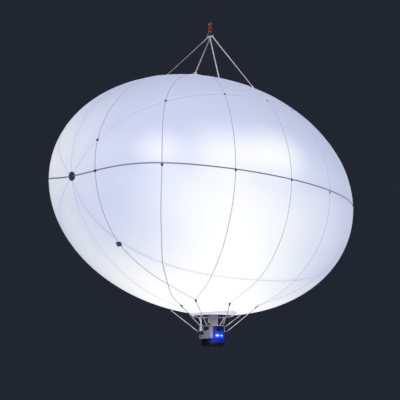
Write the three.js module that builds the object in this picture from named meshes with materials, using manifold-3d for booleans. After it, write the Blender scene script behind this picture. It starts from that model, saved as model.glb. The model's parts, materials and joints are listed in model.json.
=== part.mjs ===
// Hanging balloon light: an ellipsoid envelope of eight gores under a four-leg sling, with a blower and
// lamp unit held below its mouth by eight stays. Millimetres, +Z up, X along the envelope's long axis.
// The origin is the bearing point in the eye of the swivel, where the balloon is hung.
import * as THREE from "three";
import { mergeVertices } from "three/addons/utils/BufferGeometryUtils.js";
import Module from "manifold-3d";

const wasm = await Module();
wasm.setup();

// Driving dimensions
const HALF_LENGTH = 3000;
const HALF_WIDTH = 1710;
const HALF_HEIGHT = 1800;
const SHELL = 10;
const CENTRE_Z = -2800; // envelope centre below the hanging point
const SLING_APEX_Z = -226; // where the sling legs meet the master link
const GAP = 0.4; // clearance between solids that touch on the real thing
const RAD = Math.PI / 180;

// The gore seams meet in a tip a little below the mid plane, because the ends droop.
const TIP_DROOP = 0.08;
const TIP_DROOP_POWER = 12;
const TIP_HOLE = 42; // radius left open at a tip, under the end patch
const END_PATCH = { r: 62, thick: 6 };

// Gore mesh: stations from tip to tip, and strips across each gore
const STATIONS = 28;
const ACROSS = 4;

// Mouth, collar and skirt at the bottom of the envelope
const MOUTH_R = 292;
const COLLAR_WALL = 10;
const COLLAR_TOP_Z = -1690;
const LIP_Z = -1818;
const SKIRT = { topR: 350, lipR: 306, flareZ: -1778, topZ: -1740 };
const PLATE_Z = -1806;
const PLATE_THICK = 6;

// Lamp and blower unit, in heights from the envelope's centre
const UNIT_YAW = -51 * RAD;
const CROWN = { r: 166, top: -1968, bottom: -1976, earWide: 30, earTip: 205, strapR: 176, strapThick: 7 };
const NECK = { wide: 148, deep: 132, top: PLATE_Z - PLATE_THICK - GAP, bottom: CROWN.top + GAP };
// A small black box for the lamps' lead on the neck's near face
const LEAD_BOX = { left: -101, right: -37, deep: 30, top: -1929, bottom: -1960 };
const FINS = { r: 160, core: 132, count: 30, thick: 5, root: 6, top: CROWN.bottom - GAP, bottom: -2062 };
const FIN_STEP = { above: 10, below: 4 }; // how far the fins stop short of the core's ends
const BAND = { r: 172, top: FINS.bottom - GAP, bottom: -2160 };
// Two bright windows that stand proud of the band, by place across its near face and height
const WINDOWS = { proud: 3, top: -2100, bottom: -2139, spans: [[21, 89], [107, 147]] };
const CASE = { r: 172, wall: 8, top: BAND.bottom - GAP, bottom: -2224, roof: 14 };
const BASE = { r: 177, wall: 13, top: CASE.bottom - GAP, bottom: -2268 };
const GRILLE = { rings: [78, 112, 142], ringHalf: 3, spokes: 8, spokeWide: 9, tall: 8, boss: 44 };
const FAN = { r: 142, hub: 38, blades: 7, top: -2184, bottom: -2236, shaft: 8, bore: 8.5 };
const BLADE = { wide: 44, thick: 4, pitch: 34 * RAD, root: 8 };
const BOX = { wide: 214, tall: 176, near: 96, far: 198, turn: 38 * RAD, top: -1986 };
// On the box's outer face: a gland for the conduit, and two sockets, by place across it and height
const GLAND = { across: -44, z: -2082, r: 29, out: 62 };
const CONDUIT_R = 11;
const SOCKET_DEEP = 26;
const SOCKETS = [
  { across: 14, wide: 40, tall: 56, z: -2020 },
  { across: 62, wide: 24, tall: 44, z: -2014 },
];

// Stays. Each tab is placed by azimuth from the -X tip towards -Y and by latitude, in degrees on the
// unit sphere, and each ear of the crown plate by its true azimuth and the height of its eye.
const STAYS_PER_HALF = [
  { azimuth: 12.4, latitude: -73, ear: -22, earZ: -1972 },
  { azimuth: 38.2, latitude: -68, ear: 14, earZ: -1972 },
  { azimuth: 72.4, latitude: -69.7, ear: 84, earZ: -1972 },
  { azimuth: 107.7, latitude: -69, ear: 122, earZ: -2052 },
];
const HALF_TURNS = [0, 180];
const STAYS = HALF_TURNS.flatMap((turn) =>
  STAYS_PER_HALF.map((stay) => ({ ...stay, azimuth: stay.azimuth + turn, ear: stay.ear + turn })),
);
const STAY_R = 5;
const STAY_END_R = 9;
const TAB = { r: 24, thick: 14 };

// Load tapes sewn over the cloth, each by latitude and azimuth in degrees from the crown down. They run
// through the sling's feet and the side patches to the stays' tabs; six more are these turned half round.
const LOAD_TAPES_PER_HALF = [
  [[88, 8], [60, 9], [44, 13], [0, 12.5], [-34, 13.5], [-48, 19], [-56, 25.4], [-68, 38.2]],
  [[88, 37], [70, 37.2], [47, 35.4], [0, 37.9], [-29, 34.8], [-44, 30.4], [-56, 25.6], [-73, 12.4]],
  [[88, 58], [60, 58], [41, 61], [0, 62.6], [-32, 59.4], [-50, 54], [-59, 48.3], [-68, 38.2]],
  [[88, 92], [61, 88], [39, 84.6], [0, 84], [-28, 83], [-50, 80.6], [-69.7, 72.4]],
  [[88, 112], [60, 106], [38, 104], [0, 104.4], [-30, 105], [-48, 105.8], [-69, 107.7]],
  [[88, 142], [70, 142.8], [30, 133], [0, 130], [-30, 127], [-50, 121], [-69, 107.7]],
];
const TAPE = { wide: 18, under: 1.6, proud: 7, looks: 160, closest: 30, clear: 2 };
const MID_TAPE = { wide: 24, under: GAP };
const CROWN_CAP = { r: 130, thick: 8 };

// Dark patches low on the sides, each with a ring for a guy
const SIDE_PATCH = { azimuth: 13.1, latitude: -34.6, r: 40, thick: 7 };
const GUY_RING = { r: 20, tube: 4.5 };

// Sling: each leg's foot on the crown, and the place of its top eye along the link's bar
const SLING_LEGS = [
  { x: -810, y: 350, along: 36 },
  { x: -810, y: -350, along: -12 },
  { x: 810, y: 350, along: 12 },
  { x: 810, y: -350, along: -36 },
];
const SLING_R = 9;
const SLING_PATCH = { r: 92, thick: 6 };
const BOW = { r: 24, tube: 5.5 };
const LEG_EYE = { r: 20, tube: 6 };
const TOP_EYE = { r: 19, tube: 5 };

// Swivel, in heights below the hanging point
const EYE = { r: 30, tube: 8 };
const STEM = { r: 9, head: 16, headTop: -84.4, headBottom: -98 };
const YOKE = { r: 33, hole: 9.6, top: -60, ceiling: -84, cavity: 21, rim: -108, foot: -172 };
const YOKE_SHOULDER = { in: 12, down: 16 };
const CHEEK = { wide: 38, overlap: 4 };
const YOKE_PIN = { z: -150, r: 8 };
const LINK = { tube: 8, half: 70, crest: 12, barZ: SLING_APEX_Z };

const PAINT = {
  cloth: new THREE.MeshStandardMaterial({ color: 0xf2f3fb, roughness: 0.55 }),
  patch: new THREE.MeshStandardMaterial({ color: 0x4a4850, roughness: 0.8 }),
  sling: new THREE.MeshStandardMaterial({ color: 0xcfcbc8, roughness: 0.85 }),
  steel: new THREE.MeshStandardMaterial({ color: 0x9a9da3, roughness: 0.35, metalness: 0.9 }),
  red: new THREE.MeshStandardMaterial({ color: 0xc8381c, roughness: 0.4 }),
  white: new THREE.MeshStandardMaterial({ color: 0xe9e7ea, roughness: 0.45 }),
  blue: new THREE.MeshStandardMaterial({ color: 0x14246e, roughness: 0.4 }),
  grey: new THREE.MeshStandardMaterial({ color: 0x8f8f98, roughness: 0.45 }),
  black: new THREE.MeshStandardMaterial({ color: 0x16171c, roughness: 0.5 }),
  lens: new THREE.MeshStandardMaterial({ color: 0x0c2dff, roughness: 0.2 }),
};

const UP = new THREE.Vector3(0, 0, 1);
const BAR_LINE = new THREE.Vector3(0, 1, 0); // the way the link's bar runs

const part = new THREE.Group();

function add(name, geometry, material, parent = part) {
  const mesh = new THREE.Mesh(geometry, material);
  mesh.name = name;
  parent.add(mesh);
  return mesh;
}

// Solids for cutting and joining
function solid(geometry) {
  const bare = geometry.clone();
  for (const key of Object.keys(bare.attributes)) {
    if (key !== "position") bare.deleteAttribute(key);
  }
  const merged = mergeVertices(bare, 1e-3);
  return new wasm.Manifold(
    new wasm.Mesh({
      numProp: 3,
      vertProperties: merged.attributes.position.array,
      triVerts: new Uint32Array(merged.index.array),
    }),
  );
}

function geometryOf(manifold) {
  const mesh = manifold.getMesh();
  const geometry = new THREE.BufferGeometry();
  geometry.setAttribute("position", new THREE.BufferAttribute(mesh.vertProperties, 3));
  geometry.setIndex(new THREE.BufferAttribute(mesh.triVerts, 1));
  geometry.computeVertexNormals();
  return geometry;
}

// A vertical lathe from [radius, height] pairs that close on themselves, listed anticlockwise
function turned(profile, segments = 48) {
  const points = [...profile, profile[0]].map(([r, z]) => new THREE.Vector2(r, z));
  return new THREE.LatheGeometry(points, segments).rotateX(Math.PI / 2);
}

function tube(inner, outer, bottom, top, segments = 48) {
  return turned([[inner, bottom], [outer, bottom], [outer, top], [inner, top]], segments);
}

function upright(radius, bottom, top, segments = 24) {
  return new THREE.CylinderGeometry(radius, radius, top - bottom, segments)
    .rotateX(Math.PI / 2)
    .translate(0, 0, (top + bottom) / 2);
}

function rod(from, to, radius, segments = 8) {
  const along = to.clone().sub(from);
  const turn = new THREE.Quaternion().setFromUnitVectors(
    new THREE.Vector3(0, 1, 0),
    along.clone().normalize(),
  );
  return new THREE.CylinderGeometry(radius, radius, along.length(), segments)
    .applyQuaternion(turn)
    .translate(...from.clone().add(to).multiplyScalar(0.5).toArray());
}

// Envelope surface: a point on the unit sphere, lowered near the tips, scaled to the ellipsoid
function onShell(x, angle, inset = 0) {
  const r = Math.sqrt(Math.max(0, 1 - x * x));
  const unit = new THREE.Vector3(x, -r * Math.cos(angle), r * Math.sin(angle));
  unit.z -= TIP_DROOP * Math.abs(x) ** TIP_DROOP_POWER;
  unit.normalize();
  return new THREE.Vector3(
    unit.x * (HALF_LENGTH - inset),
    unit.y * (HALF_WIDTH - inset),
    unit.z * (HALF_HEIGHT - inset) + CENTRE_Z,
  );
}

// A point and its outward normal from azimuth and latitude in degrees
function loadPoint(azimuth, latitude) {
  const flat = Math.cos(latitude * RAD);
  const point = new THREE.Vector3(
    -HALF_LENGTH * flat * Math.cos(azimuth * RAD),
    -HALF_WIDTH * flat * Math.sin(azimuth * RAD),
    HALF_HEIGHT * Math.sin(latitude * RAD),
  );
  return { point: point.clone().setZ(point.z + CENTRE_Z), normal: normalAt(point) };
}

function normalAt(fromCentre) {
  return new THREE.Vector3(
    fromCentre.x / HALF_LENGTH ** 2,
    fromCentre.y / HALF_WIDTH ** 2,
    fromCentre.z / HALF_HEIGHT ** 2,
  ).normalize();
}

// The seam below the equator runs lower towards one tip; the other side is the same turned half round.
function lowerSeam(x) {
  const toTip = -x;
  return (50 + 8 * toTip + (toTip > 0 ? 20 * toTip * toTip : 0)) * RAD;
}

const SEAMS = [
  () => 0,
  () => 46 * RAD,
  () => 90 * RAD,
  () => 134 * RAD,
  () => 180 * RAD,
  (x) => Math.PI + lowerSeam(-x),
  () => 270 * RAD,
  (x) => 2 * Math.PI - lowerSeam(x),
  () => 360 * RAD,
];
const GORE_NAMES = [
  "gore_front_upper", "gore_front_crown", "gore_back_crown", "gore_back_upper",
  "gore_back_lower", "gore_back_keel", "gore_front_keel", "gore_front_lower",
];
const TIP_START = Math.asin(TIP_HOLE / HALF_WIDTH);

// The station's place along X on the unit sphere, and the width of its ring
function station(i) {
  const theta = TIP_START + ((Math.PI - 2 * TIP_START) * i) / STATIONS;
  return { x: -Math.cos(theta), ring: Math.sin(theta) };
}

// One gore: an outer and an inner grid between two seams, closed along its four edges
function gore(index) {
  const vertices = [];
  const rows = STATIONS + 1;
  const cols = ACROSS + 1;
  for (const inset of [0, SHELL]) {
    for (let i = 0; i < rows; i += 1) {
      const { x, ring } = station(i);
      const margin = GAP / 2 / (HALF_WIDTH * ring);
      const from = SEAMS[index](x) + margin;
      const to = SEAMS[index + 1](x) - margin;
      for (let j = 0; j < cols; j += 1) {
        vertices.push(...onShell(x, from + ((to - from) * j) / ACROSS, inset).toArray());
      }
    }
  }
  const at = (layer, i, j) => layer * rows * cols + i * cols + j;
  const faces = [];
  const quad = (a, b, c, d) => faces.push(a, b, c, a, c, d);
  for (let i = 0; i < STATIONS; i += 1) {
    for (let j = 0; j < ACROSS; j += 1) {
      quad(at(0, i, j), at(0, i + 1, j), at(0, i + 1, j + 1), at(0, i, j + 1));
      quad(at(1, i, j), at(1, i, j + 1), at(1, i + 1, j + 1), at(1, i + 1, j));
    }
    quad(at(0, i, 0), at(1, i, 0), at(1, i + 1, 0), at(0, i + 1, 0));
    quad(at(0, i, ACROSS), at(0, i + 1, ACROSS), at(1, i + 1, ACROSS), at(1, i, ACROSS));
  }
  for (let j = 0; j < ACROSS; j += 1) {
    quad(at(0, 0, j), at(0, 0, j + 1), at(1, 0, j + 1), at(1, 0, j));
    quad(at(0, STATIONS, j), at(1, STATIONS, j), at(1, STATIONS, j + 1), at(0, STATIONS, j + 1));
  }
  return fromFaces(vertices, faces);
}

function fromFaces(vertices, faces) {
  const geometry = new THREE.BufferGeometry();
  geometry.setAttribute("position", new THREE.Float32BufferAttribute(vertices, 3));
  geometry.setIndex(faces);
  return geometry;
}

// The whole envelope as one filled body with the gores' own facets, grown by a clearance. What lies on
// the envelope is cut by it, and so fits the facets all over.
function filledEnvelope(clearance) {
  const cols = (SEAMS.length - 1) * ACROSS;
  const vertices = [];
  for (let i = 0; i <= STATIONS; i += 1) {
    const { x } = station(i);
    for (let k = 0; k < cols; k += 1) {
      const index = Math.floor(k / ACROSS);
      const share = (k % ACROSS) / ACROSS;
      const angle = SEAMS[index](x) * (1 - share) + SEAMS[index + 1](x) * share;
      vertices.push(...onShell(x, angle, -clearance).toArray());
    }
  }
  const leftTip = vertices.length / 3;
  vertices.push(...onShell(-1, 0, -clearance).toArray());
  const rightTip = leftTip + 1;
  vertices.push(...onShell(1, 0, -clearance).toArray());
  const faces = [];
  for (let k = 0; k < cols; k += 1) {
    const next = (k + 1) % cols;
    for (let i = 0; i < STATIONS; i += 1) {
      const [a, b] = [i * cols, (i + 1) * cols];
      faces.push(a + k, b + k, b + next, a + k, b + next, a + next);
    }
    faces.push(leftTip, k, next);
    faces.push(rightTip, STATIONS * cols + next, STATIONS * cols + k);
  }
  return solid(fromFaces(vertices, faces));
}

const ENVELOPE = filledEnvelope(GAP);

function buildEnvelope() {
  const mouth = solid(upright(MOUTH_R, CENTRE_Z - HALF_HEIGHT - 60, CENTRE_Z - HALF_HEIGHT + 160, 48));
  GORE_NAMES.forEach((name, index) => {
    const geometry = gore(index);
    const keel = name.endsWith("keel");
    add(name, keel ? geometryOf(solid(geometry).subtract(mouth)) : geometry, PAINT.cloth);
  });
}

// A round pad that lies on the envelope at a point, with its underside fitted to the facets
function pad(point, normal, radius, thick, segments = 20) {
  const sunk = SHELL - 1;
  const turn = new THREE.Quaternion().setFromUnitVectors(new THREE.Vector3(0, 1, 0), normal);
  const disc = new THREE.CylinderGeometry(radius, radius, thick + sunk, segments)
    .applyQuaternion(turn)
    .translate(...point.clone().addScaledVector(normal, (thick - sunk) / 2).toArray());
  return solid(disc).subtract(ENVELOPE);
}

// Each tip, where the gores meet, is closed by a patch
function buildEndPatches() {
  for (const [name, side] of [["end_patch_left", -1], ["end_patch_right", 1]]) {
    const tip = onShell(side, 0);
    const normal = normalAt(tip.clone().setZ(tip.z - CENTRE_Z));
    add(name, geometryOf(pad(tip, normal, END_PATCH.r, END_PATCH.thick)), PAINT.patch);
  }
}

// Collar clamped in the mouth, the plate that shuts it, and the skirt that covers the joint from outside
function buildMouth() {
  const z = (height) => CENTRE_Z + height;
  add(
    "mouth_collar",
    tube(MOUTH_R - COLLAR_WALL, MOUTH_R - GAP, z(LIP_Z), z(COLLAR_TOP_Z)),
    PAINT.grey,
  );
  add(
    "mouth_plate",
    upright(MOUTH_R - COLLAR_WALL - GAP, z(PLATE_Z - PLATE_THICK), z(PLATE_Z), 48),
    PAINT.blue,
  );
  const body = solid(
    turned([
      [MOUTH_R + GAP, z(LIP_Z)],
      [SKIRT.lipR, z(LIP_Z)],
      [SKIRT.topR, z(SKIRT.flareZ)],
      [SKIRT.topR, z(SKIRT.topZ)],
      [MOUTH_R + GAP, z(SKIRT.topZ)],
    ]),
  );
  add("mouth_skirt", geometryOf(body.subtract(ENVELOPE)), PAINT.white);
}

// Blower and lamp unit below the mouth
function buildUnit() {
  const unit = new THREE.Group();
  unit.position.z = CENTRE_Z;
  unit.rotation.z = UNIT_YAW;
  part.add(unit);

  const neckTall = NECK.top - NECK.bottom;
  add(
    "neck_housing",
    new THREE.BoxGeometry(NECK.wide, NECK.deep, neckTall).translate(0, 0, NECK.bottom + neckTall / 2),
    PAINT.grey,
    unit,
  );

  const leadTall = LEAD_BOX.top - LEAD_BOX.bottom;
  const leadBox = new THREE.BoxGeometry(LEAD_BOX.right - LEAD_BOX.left, LEAD_BOX.deep, leadTall).translate(
    (LEAD_BOX.right + LEAD_BOX.left) / 2,
    -NECK.deep / 2 - LEAD_BOX.deep / 2 - GAP,
    LEAD_BOX.bottom + leadTall / 2,
  );
  add("lead_box", leadBox, PAINT.black, unit);

  let fins = solid(upright(FINS.core, FINS.bottom, FINS.top, 40));
  const [finBottom, finTop] = [FINS.bottom + FIN_STEP.below, FINS.top - FIN_STEP.above];
  const finInner = FINS.core - FINS.root;
  for (let i = 0; i < FINS.count; i += 1) {
    const fin = new THREE.BoxGeometry(FINS.r - finInner, FINS.thick, finTop - finBottom)
      .translate((FINS.r + finInner) / 2, 0, (finTop + finBottom) / 2)
      .rotateZ((2 * Math.PI * i) / FINS.count);
    fins = fins.add(solid(fin));
  }
  add("cooling_fins", geometryOf(fins), PAINT.black, unit);
  add("light_band", geometryOf(lightBand()), PAINT.lens, unit);

  const shaftBottom = FAN.bottom + 4;
  const roof = CASE.top - CASE.roof;
  const inside = CASE.r - CASE.wall;
  const casing = turned([
    [0, shaftBottom], [FAN.shaft, shaftBottom], [FAN.shaft, roof], [inside, roof],
    [inside, CASE.bottom], [CASE.r, CASE.bottom], [CASE.r, CASE.top], [0, CASE.top],
  ]);
  add("blower_case", casing, PAINT.blue, unit);

  const grilleTop = BASE.bottom + GRILLE.tall;
  let grille = solid(tube(BASE.r - BASE.wall, BASE.r, BASE.bottom, BASE.top, 48));
  grille = grille.add(solid(upright(GRILLE.boss, BASE.bottom, grilleTop, 24)));
  for (const r of GRILLE.rings) {
    const ring = tube(r - GRILLE.ringHalf, r + GRILLE.ringHalf, BASE.bottom, grilleTop, 22);
    grille = grille.add(solid(ring));
  }
  const [spokeFrom, spokeTo] = [GRILLE.boss - 4, BASE.r - BASE.wall + 4];
  for (let i = 0; i < GRILLE.spokes; i += 1) {
    const spoke = new THREE.BoxGeometry(spokeTo - spokeFrom, GRILLE.spokeWide, GRILLE.tall)
      .translate((spokeFrom + spokeTo) / 2, 0, BASE.bottom + GRILLE.tall / 2)
      .rotateZ((2 * Math.PI * i) / GRILLE.spokes);
    grille = grille.add(solid(spoke));
  }
  add("intake_grille", geometryOf(grille), PAINT.black, unit);

  let fan = solid(tube(FAN.bore, FAN.hub, FAN.bottom, FAN.top, 24));
  const bladeFrom = FAN.hub - BLADE.root;
  for (let i = 0; i < FAN.blades; i += 1) {
    const blade = new THREE.BoxGeometry(FAN.r - bladeFrom, BLADE.wide, BLADE.thick)
      .rotateX(BLADE.pitch)
      .translate((FAN.r + bladeFrom) / 2, 0, (FAN.top + FAN.bottom) / 2)
      .rotateZ((2 * Math.PI * i) / FAN.blades);
    fan = fan.add(solid(blade));
  }
  add("fan_rotor", geometryOf(fan), PAINT.black, unit);

  const drum = solid(upright(BAND.r + GAP, BAND.bottom - BOX.tall, BAND.top + BOX.tall, 48));
  const boxBody = new THREE.BoxGeometry(BOX.wide, BOX.far - BOX.near, BOX.tall)
    .translate(0, -(BOX.far + BOX.near) / 2, BOX.top - BOX.tall / 2)
    .rotateZ(-BOX.turn);
  add("control_box", geometryOf(solid(boxBody).subtract(drum)), PAINT.grey, unit);

  const onBox = (across, out, height) =>
    new THREE.Vector3(across, -BOX.far - out, height).applyAxisAngle(UP, -BOX.turn);
  add(
    "conduit_gland",
    rod(onBox(GLAND.across, GAP, GLAND.z), onBox(GLAND.across, GLAND.out, GLAND.z), GLAND.r, 20),
    PAINT.black,
    unit,
  );
  const conduitFoot = onBox(GLAND.across, GLAND.out * 0.6, GLAND.z + GLAND.r + GAP);
  add(
    "conduit",
    rod(conduitFoot, conduitFoot.clone().setZ(PLATE_Z - PLATE_THICK - GAP), CONDUIT_R, 12),
    PAINT.white,
    unit,
  );
  SOCKETS.forEach(({ across, wide, tall, z }, index) => {
    const socket = new THREE.BoxGeometry(wide, SOCKET_DEEP, tall)
      .translate(across, -BOX.far - SOCKET_DEEP / 2 - GAP, z)
      .rotateZ(-BOX.turn);
    add(`socket_${index + 1}`, socket, PAINT.black, unit);
  });
}

// The blue lens, with its two windows standing proud on the near side
function lightBand() {
  const proud = solid(tube(BAND.r - WINDOWS.proud, BAND.r + WINDOWS.proud, WINDOWS.bottom, WINDOWS.top));
  let lens = solid(upright(BAND.r, BAND.bottom, BAND.top, 48));
  for (const [left, right] of WINDOWS.spans) {
    const window = new THREE.BoxGeometry(right - left, BAND.r, BAND.top - BAND.bottom)
      .translate((right + left) / 2, -BAND.r * 0.75, (BAND.top + BAND.bottom) / 2);
    lens = lens.add(proud.intersect(solid(window)));
  }
  return lens;
}

// A unit's bearing for a true azimuth, in degrees from -X towards -Y
function bearing(azimuth) {
  return new THREE.Vector3(-Math.cos(azimuth * RAD), -Math.sin(azimuth * RAD), 0);
}

// The crown plate on the fins, with an ear for each stay, some of them low on a strap
function buildCrownPlate() {
  const z = (height) => CENTRE_Z + height;
  let plate = solid(upright(CROWN.r, z(CROWN.bottom), z(CROWN.top), 40));
  const thick = CROWN.top - CROWN.bottom;
  for (const { ear, earZ } of STAYS) {
    const out = bearing(ear);
    const turn = Math.atan2(out.y, out.x);
    const bar = (from, to, low, high) =>
      solid(
        new THREE.BoxGeometry(to - from, CROWN.earWide, high - low)
          .translate((from + to) / 2, 0, z((low + high) / 2))
          .rotateZ(turn),
      );
    const middle = (CROWN.top + CROWN.bottom) / 2;
    if (earZ === middle) {
      plate = plate.add(bar(CROWN.r - 12, CROWN.earTip, CROWN.bottom, CROWN.top));
    } else {
      const outer = CROWN.strapR + CROWN.strapThick;
      plate = plate
        .add(bar(CROWN.r - 12, outer, CROWN.bottom, CROWN.top))
        .add(bar(CROWN.strapR, outer, earZ - thick / 2, CROWN.top))
        .add(bar(CROWN.strapR, CROWN.earTip, earZ - thick / 2, earZ + thick / 2));
    }
  }
  add("crown_plate", geometryOf(plate), PAINT.steel);
}

// The stays that carry the unit, each from a webbing tab on the envelope to its ear
function buildStays() {
  STAYS.forEach(({ azimuth, latitude, ear, earZ }, index) => {
    const { point, normal } = loadPoint(azimuth, latitude);
    const end = bearing(ear).multiplyScalar(CROWN.earTip + STAY_END_R + GAP).setZ(CENTRE_Z + earZ);
    const start = point.clone().addScaledVector(normal, TAB.thick - STAY_R + 4);
    const knob = new THREE.SphereGeometry(STAY_END_R, 8, 6).translate(...end.toArray());
    const stay = pad(point, normal, TAB.r, TAB.thick, 16)
      .add(solid(rod(start, end, STAY_R)).subtract(ENVELOPE))
      .add(solid(knob));
    add(`stay_${index + 1}`, geometryOf(stay), PAINT.sling);
  });
}

// A ring in the plane that holds one direction and is square to another
function ringAt(centre, { r, tube: thick }, normal, segments = 16) {
  const turn = new THREE.Quaternion().setFromUnitVectors(new THREE.Vector3(0, 0, 1), normal);
  return new THREE.TorusGeometry(r, thick, 6, segments)
    .applyQuaternion(turn)
    .translate(...centre.toArray());
}

// A smooth value through [place, value] pairs that fall in place
function smoothValue(pairs, place) {
  let index = 0;
  while (index < pairs.length - 2 && place < pairs[index + 1][0]) index += 1;
  const before = pairs[Math.max(index - 1, 0)];
  const [start, end] = [pairs[index], pairs[index + 1]];
  const after = pairs[Math.min(index + 2, pairs.length - 1)];
  const span = end[0] - start[0];
  const share = (place - start[0]) / span;
  const slopeStart = ((end[1] - before[1]) / (end[0] - before[0])) * span;
  const slopeEnd = ((after[1] - start[1]) / (after[0] - start[0])) * span;
  const [square, cubic] = [share ** 2, share ** 3];
  return (
    (2 * cubic - 3 * square + 1) * start[1] + (cubic - 2 * square + share) * slopeStart +
    (3 * square - 2 * cubic) * end[1] + (cubic - square) * slopeEnd
  );
}

// The cell of the gores' grid that a point of the envelope lies in
function cellOf(point) {
  const unit = new THREE.Vector3(
    point.x / HALF_LENGTH,
    point.y / HALF_WIDTH,
    (point.z - CENTRE_Z) / HALF_HEIGHT,
  ).normalize();
  let [reach, droop] = [1, 0];
  for (let pass = 0; pass < 4; pass += 1) {
    reach = Math.sqrt(1 - droop ** 2 + (unit.z * droop) ** 2) - unit.z * droop;
    droop = TIP_DROOP * Math.abs(reach * unit.x) ** TIP_DROOP_POWER;
  }
  const x = reach * unit.x;
  const turn = 2 * Math.PI;
  const angle = (Math.atan2(reach * unit.z + droop, -reach * unit.y) + turn) % turn;
  let seam = 0;
  while (seam < SEAMS.length - 2 && angle >= SEAMS[seam + 1](x)) seam += 1;
  const share = (angle - SEAMS[seam](x)) / (SEAMS[seam + 1](x) - SEAMS[seam](x));
  const along = ((Math.acos(-x) - TIP_START) / (Math.PI - 2 * TIP_START)) * STATIONS;
  return Math.floor(along) * 100 + Math.floor((seam + share) * ACROSS);
}

// The points of a load tape: its ends, and where it passes from one facet to the next, so that it bends
// where they do
function tapePoints(table, turn) {
  const [first, last] = [table[0][0], table[table.length - 1][0]];
  const at = (latitude) => loadPoint(smoothValue(table, latitude) + turn, latitude).point;
  const points = [at(first)];
  let before = first;
  for (let i = 1; i <= TAPE.looks; i += 1) {
    const now = first + ((last - first) * i) / TAPE.looks;
    const cell = cellOf(at(before));
    if (cellOf(at(now)) !== cell) {
      let [inside, outside] = [before, now];
      for (let pass = 0; pass < 12; pass += 1) {
        const middle = (inside + outside) / 2;
        if (cellOf(at(middle)) === cell) inside = middle;
        else outside = middle;
      }
      const crossing = at(outside);
      if (crossing.distanceTo(points[points.length - 1]) > TAPE.closest) points.push(crossing);
    }
    before = now;
  }
  points.push(at(last));
  return points;
}

// A flat strip along points of the envelope
function strip(points, wide, under) {
  const vertices = [];
  const faces = [];
  const quad = (a, b, c, d) => faces.push(a, b, c, a, c, d);
  points.forEach((point, i) => {
    const normal = normalAt(point.clone().setZ(point.z - CENTRE_Z));
    const ahead = points[Math.min(i + 1, points.length - 1)].clone();
    const along = ahead.sub(points[Math.max(i - 1, 0)]);
    const side = along.cross(normal).normalize().multiplyScalar(wide / 2);
    for (const [across, rise] of [[-1, under], [1, under], [1, TAPE.proud], [-1, TAPE.proud]]) {
      const corner = point.clone().addScaledVector(side, across).addScaledVector(normal, rise);
      vertices.push(...corner.toArray());
    }
    if (i === 0) return;
    const [last, now] = [(i - 1) * 4, i * 4];
    for (let k = 0; k < 4; k += 1) {
      const next = (k + 1) % 4;
      quad(last + k, now + k, now + next, last + next);
    }
  });
  const end = (points.length - 1) * 4;
  quad(0, 1, 2, 3);
  quad(end + 3, end + 2, end + 1, end);
  return solid(fromFaces(vertices, faces));
}

// The net of load tapes: twelve from the crown down, and the mid seam's tape across them on both sides.
// It stops short of the patches and tabs that are sewn over it.
function buildLoadTapes() {
  const crown = loadPoint(0, 90);
  let net = pad(crown.point, crown.normal, CROWN_CAP.r, CROWN_CAP.thick);
  for (const turn of HALF_TURNS) {
    for (const table of LOAD_TAPES_PER_HALF) {
      net = net.add(strip(tapePoints(table, turn), TAPE.wide, TAPE.under));
    }
    const midSeam = [];
    for (let i = 0; i <= STATIONS; i += 1) midSeam.push(onShell(station(i).x, turn * RAD));
    net = net.add(strip(midSeam, MID_TAPE.wide, MID_TAPE.under));
  }
  const clear = (point, normal, radius) => {
    const turn = new THREE.Quaternion().setFromUnitVectors(BAR_LINE, normal);
    const drum = new THREE.CylinderGeometry(radius + TAPE.clear, radius + TAPE.clear, 6 * SHELL, 24)
      .applyQuaternion(turn)
      .translate(...point.toArray());
    net = net.subtract(solid(drum));
  };
  for (const { azimuth, latitude } of STAYS) {
    const { point, normal } = loadPoint(azimuth, latitude);
    clear(point, normal, TAB.r);
  }
  for (const turn of HALF_TURNS) {
    const { point, normal } = loadPoint(SIDE_PATCH.azimuth + turn, SIDE_PATCH.latitude);
    clear(point, normal, SIDE_PATCH.r);
    const tip = onShell(turn ? 1 : -1, 0);
    clear(tip, normalAt(tip.clone().setZ(tip.z - CENTRE_Z)), END_PATCH.r);
  }
  for (const { x, y } of SLING_LEGS) {
    const { foot, normal } = slingFoot(x, y);
    clear(foot, normal, SLING_PATCH.r);
  }
  add("load_tapes", geometryOf(net), PAINT.sling);
}

// The side patches, where a tape crosses the low seam
function buildSidePatches() {
  HALF_TURNS.forEach((turn, index) => {
    const { point, normal } = loadPoint(SIDE_PATCH.azimuth + turn, SIDE_PATCH.latitude);
    const level = new THREE.Vector3().crossVectors(normal, UP).normalize();
    const centre = point.clone().addScaledVector(normal, SIDE_PATCH.thick + GUY_RING.r - GUY_RING.tube);
    const patch = pad(point, normal, SIDE_PATCH.r, SIDE_PATCH.thick);
    const ring = solid(ringAt(centre, GUY_RING, level));
    add(`side_patch_${index + 1}`, geometryOf(patch.add(ring)), PAINT.patch);
  });
}

// Where a sling leg stands on the crown
function slingFoot(x, y) {
  const rise = HALF_HEIGHT * Math.sqrt(1 - (x / HALF_LENGTH) ** 2 - (y / HALF_WIDTH) ** 2);
  return { foot: new THREE.Vector3(x, y, rise + CENTRE_Z), normal: normalAt(new THREE.Vector3(x, y, rise)) };
}

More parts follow.
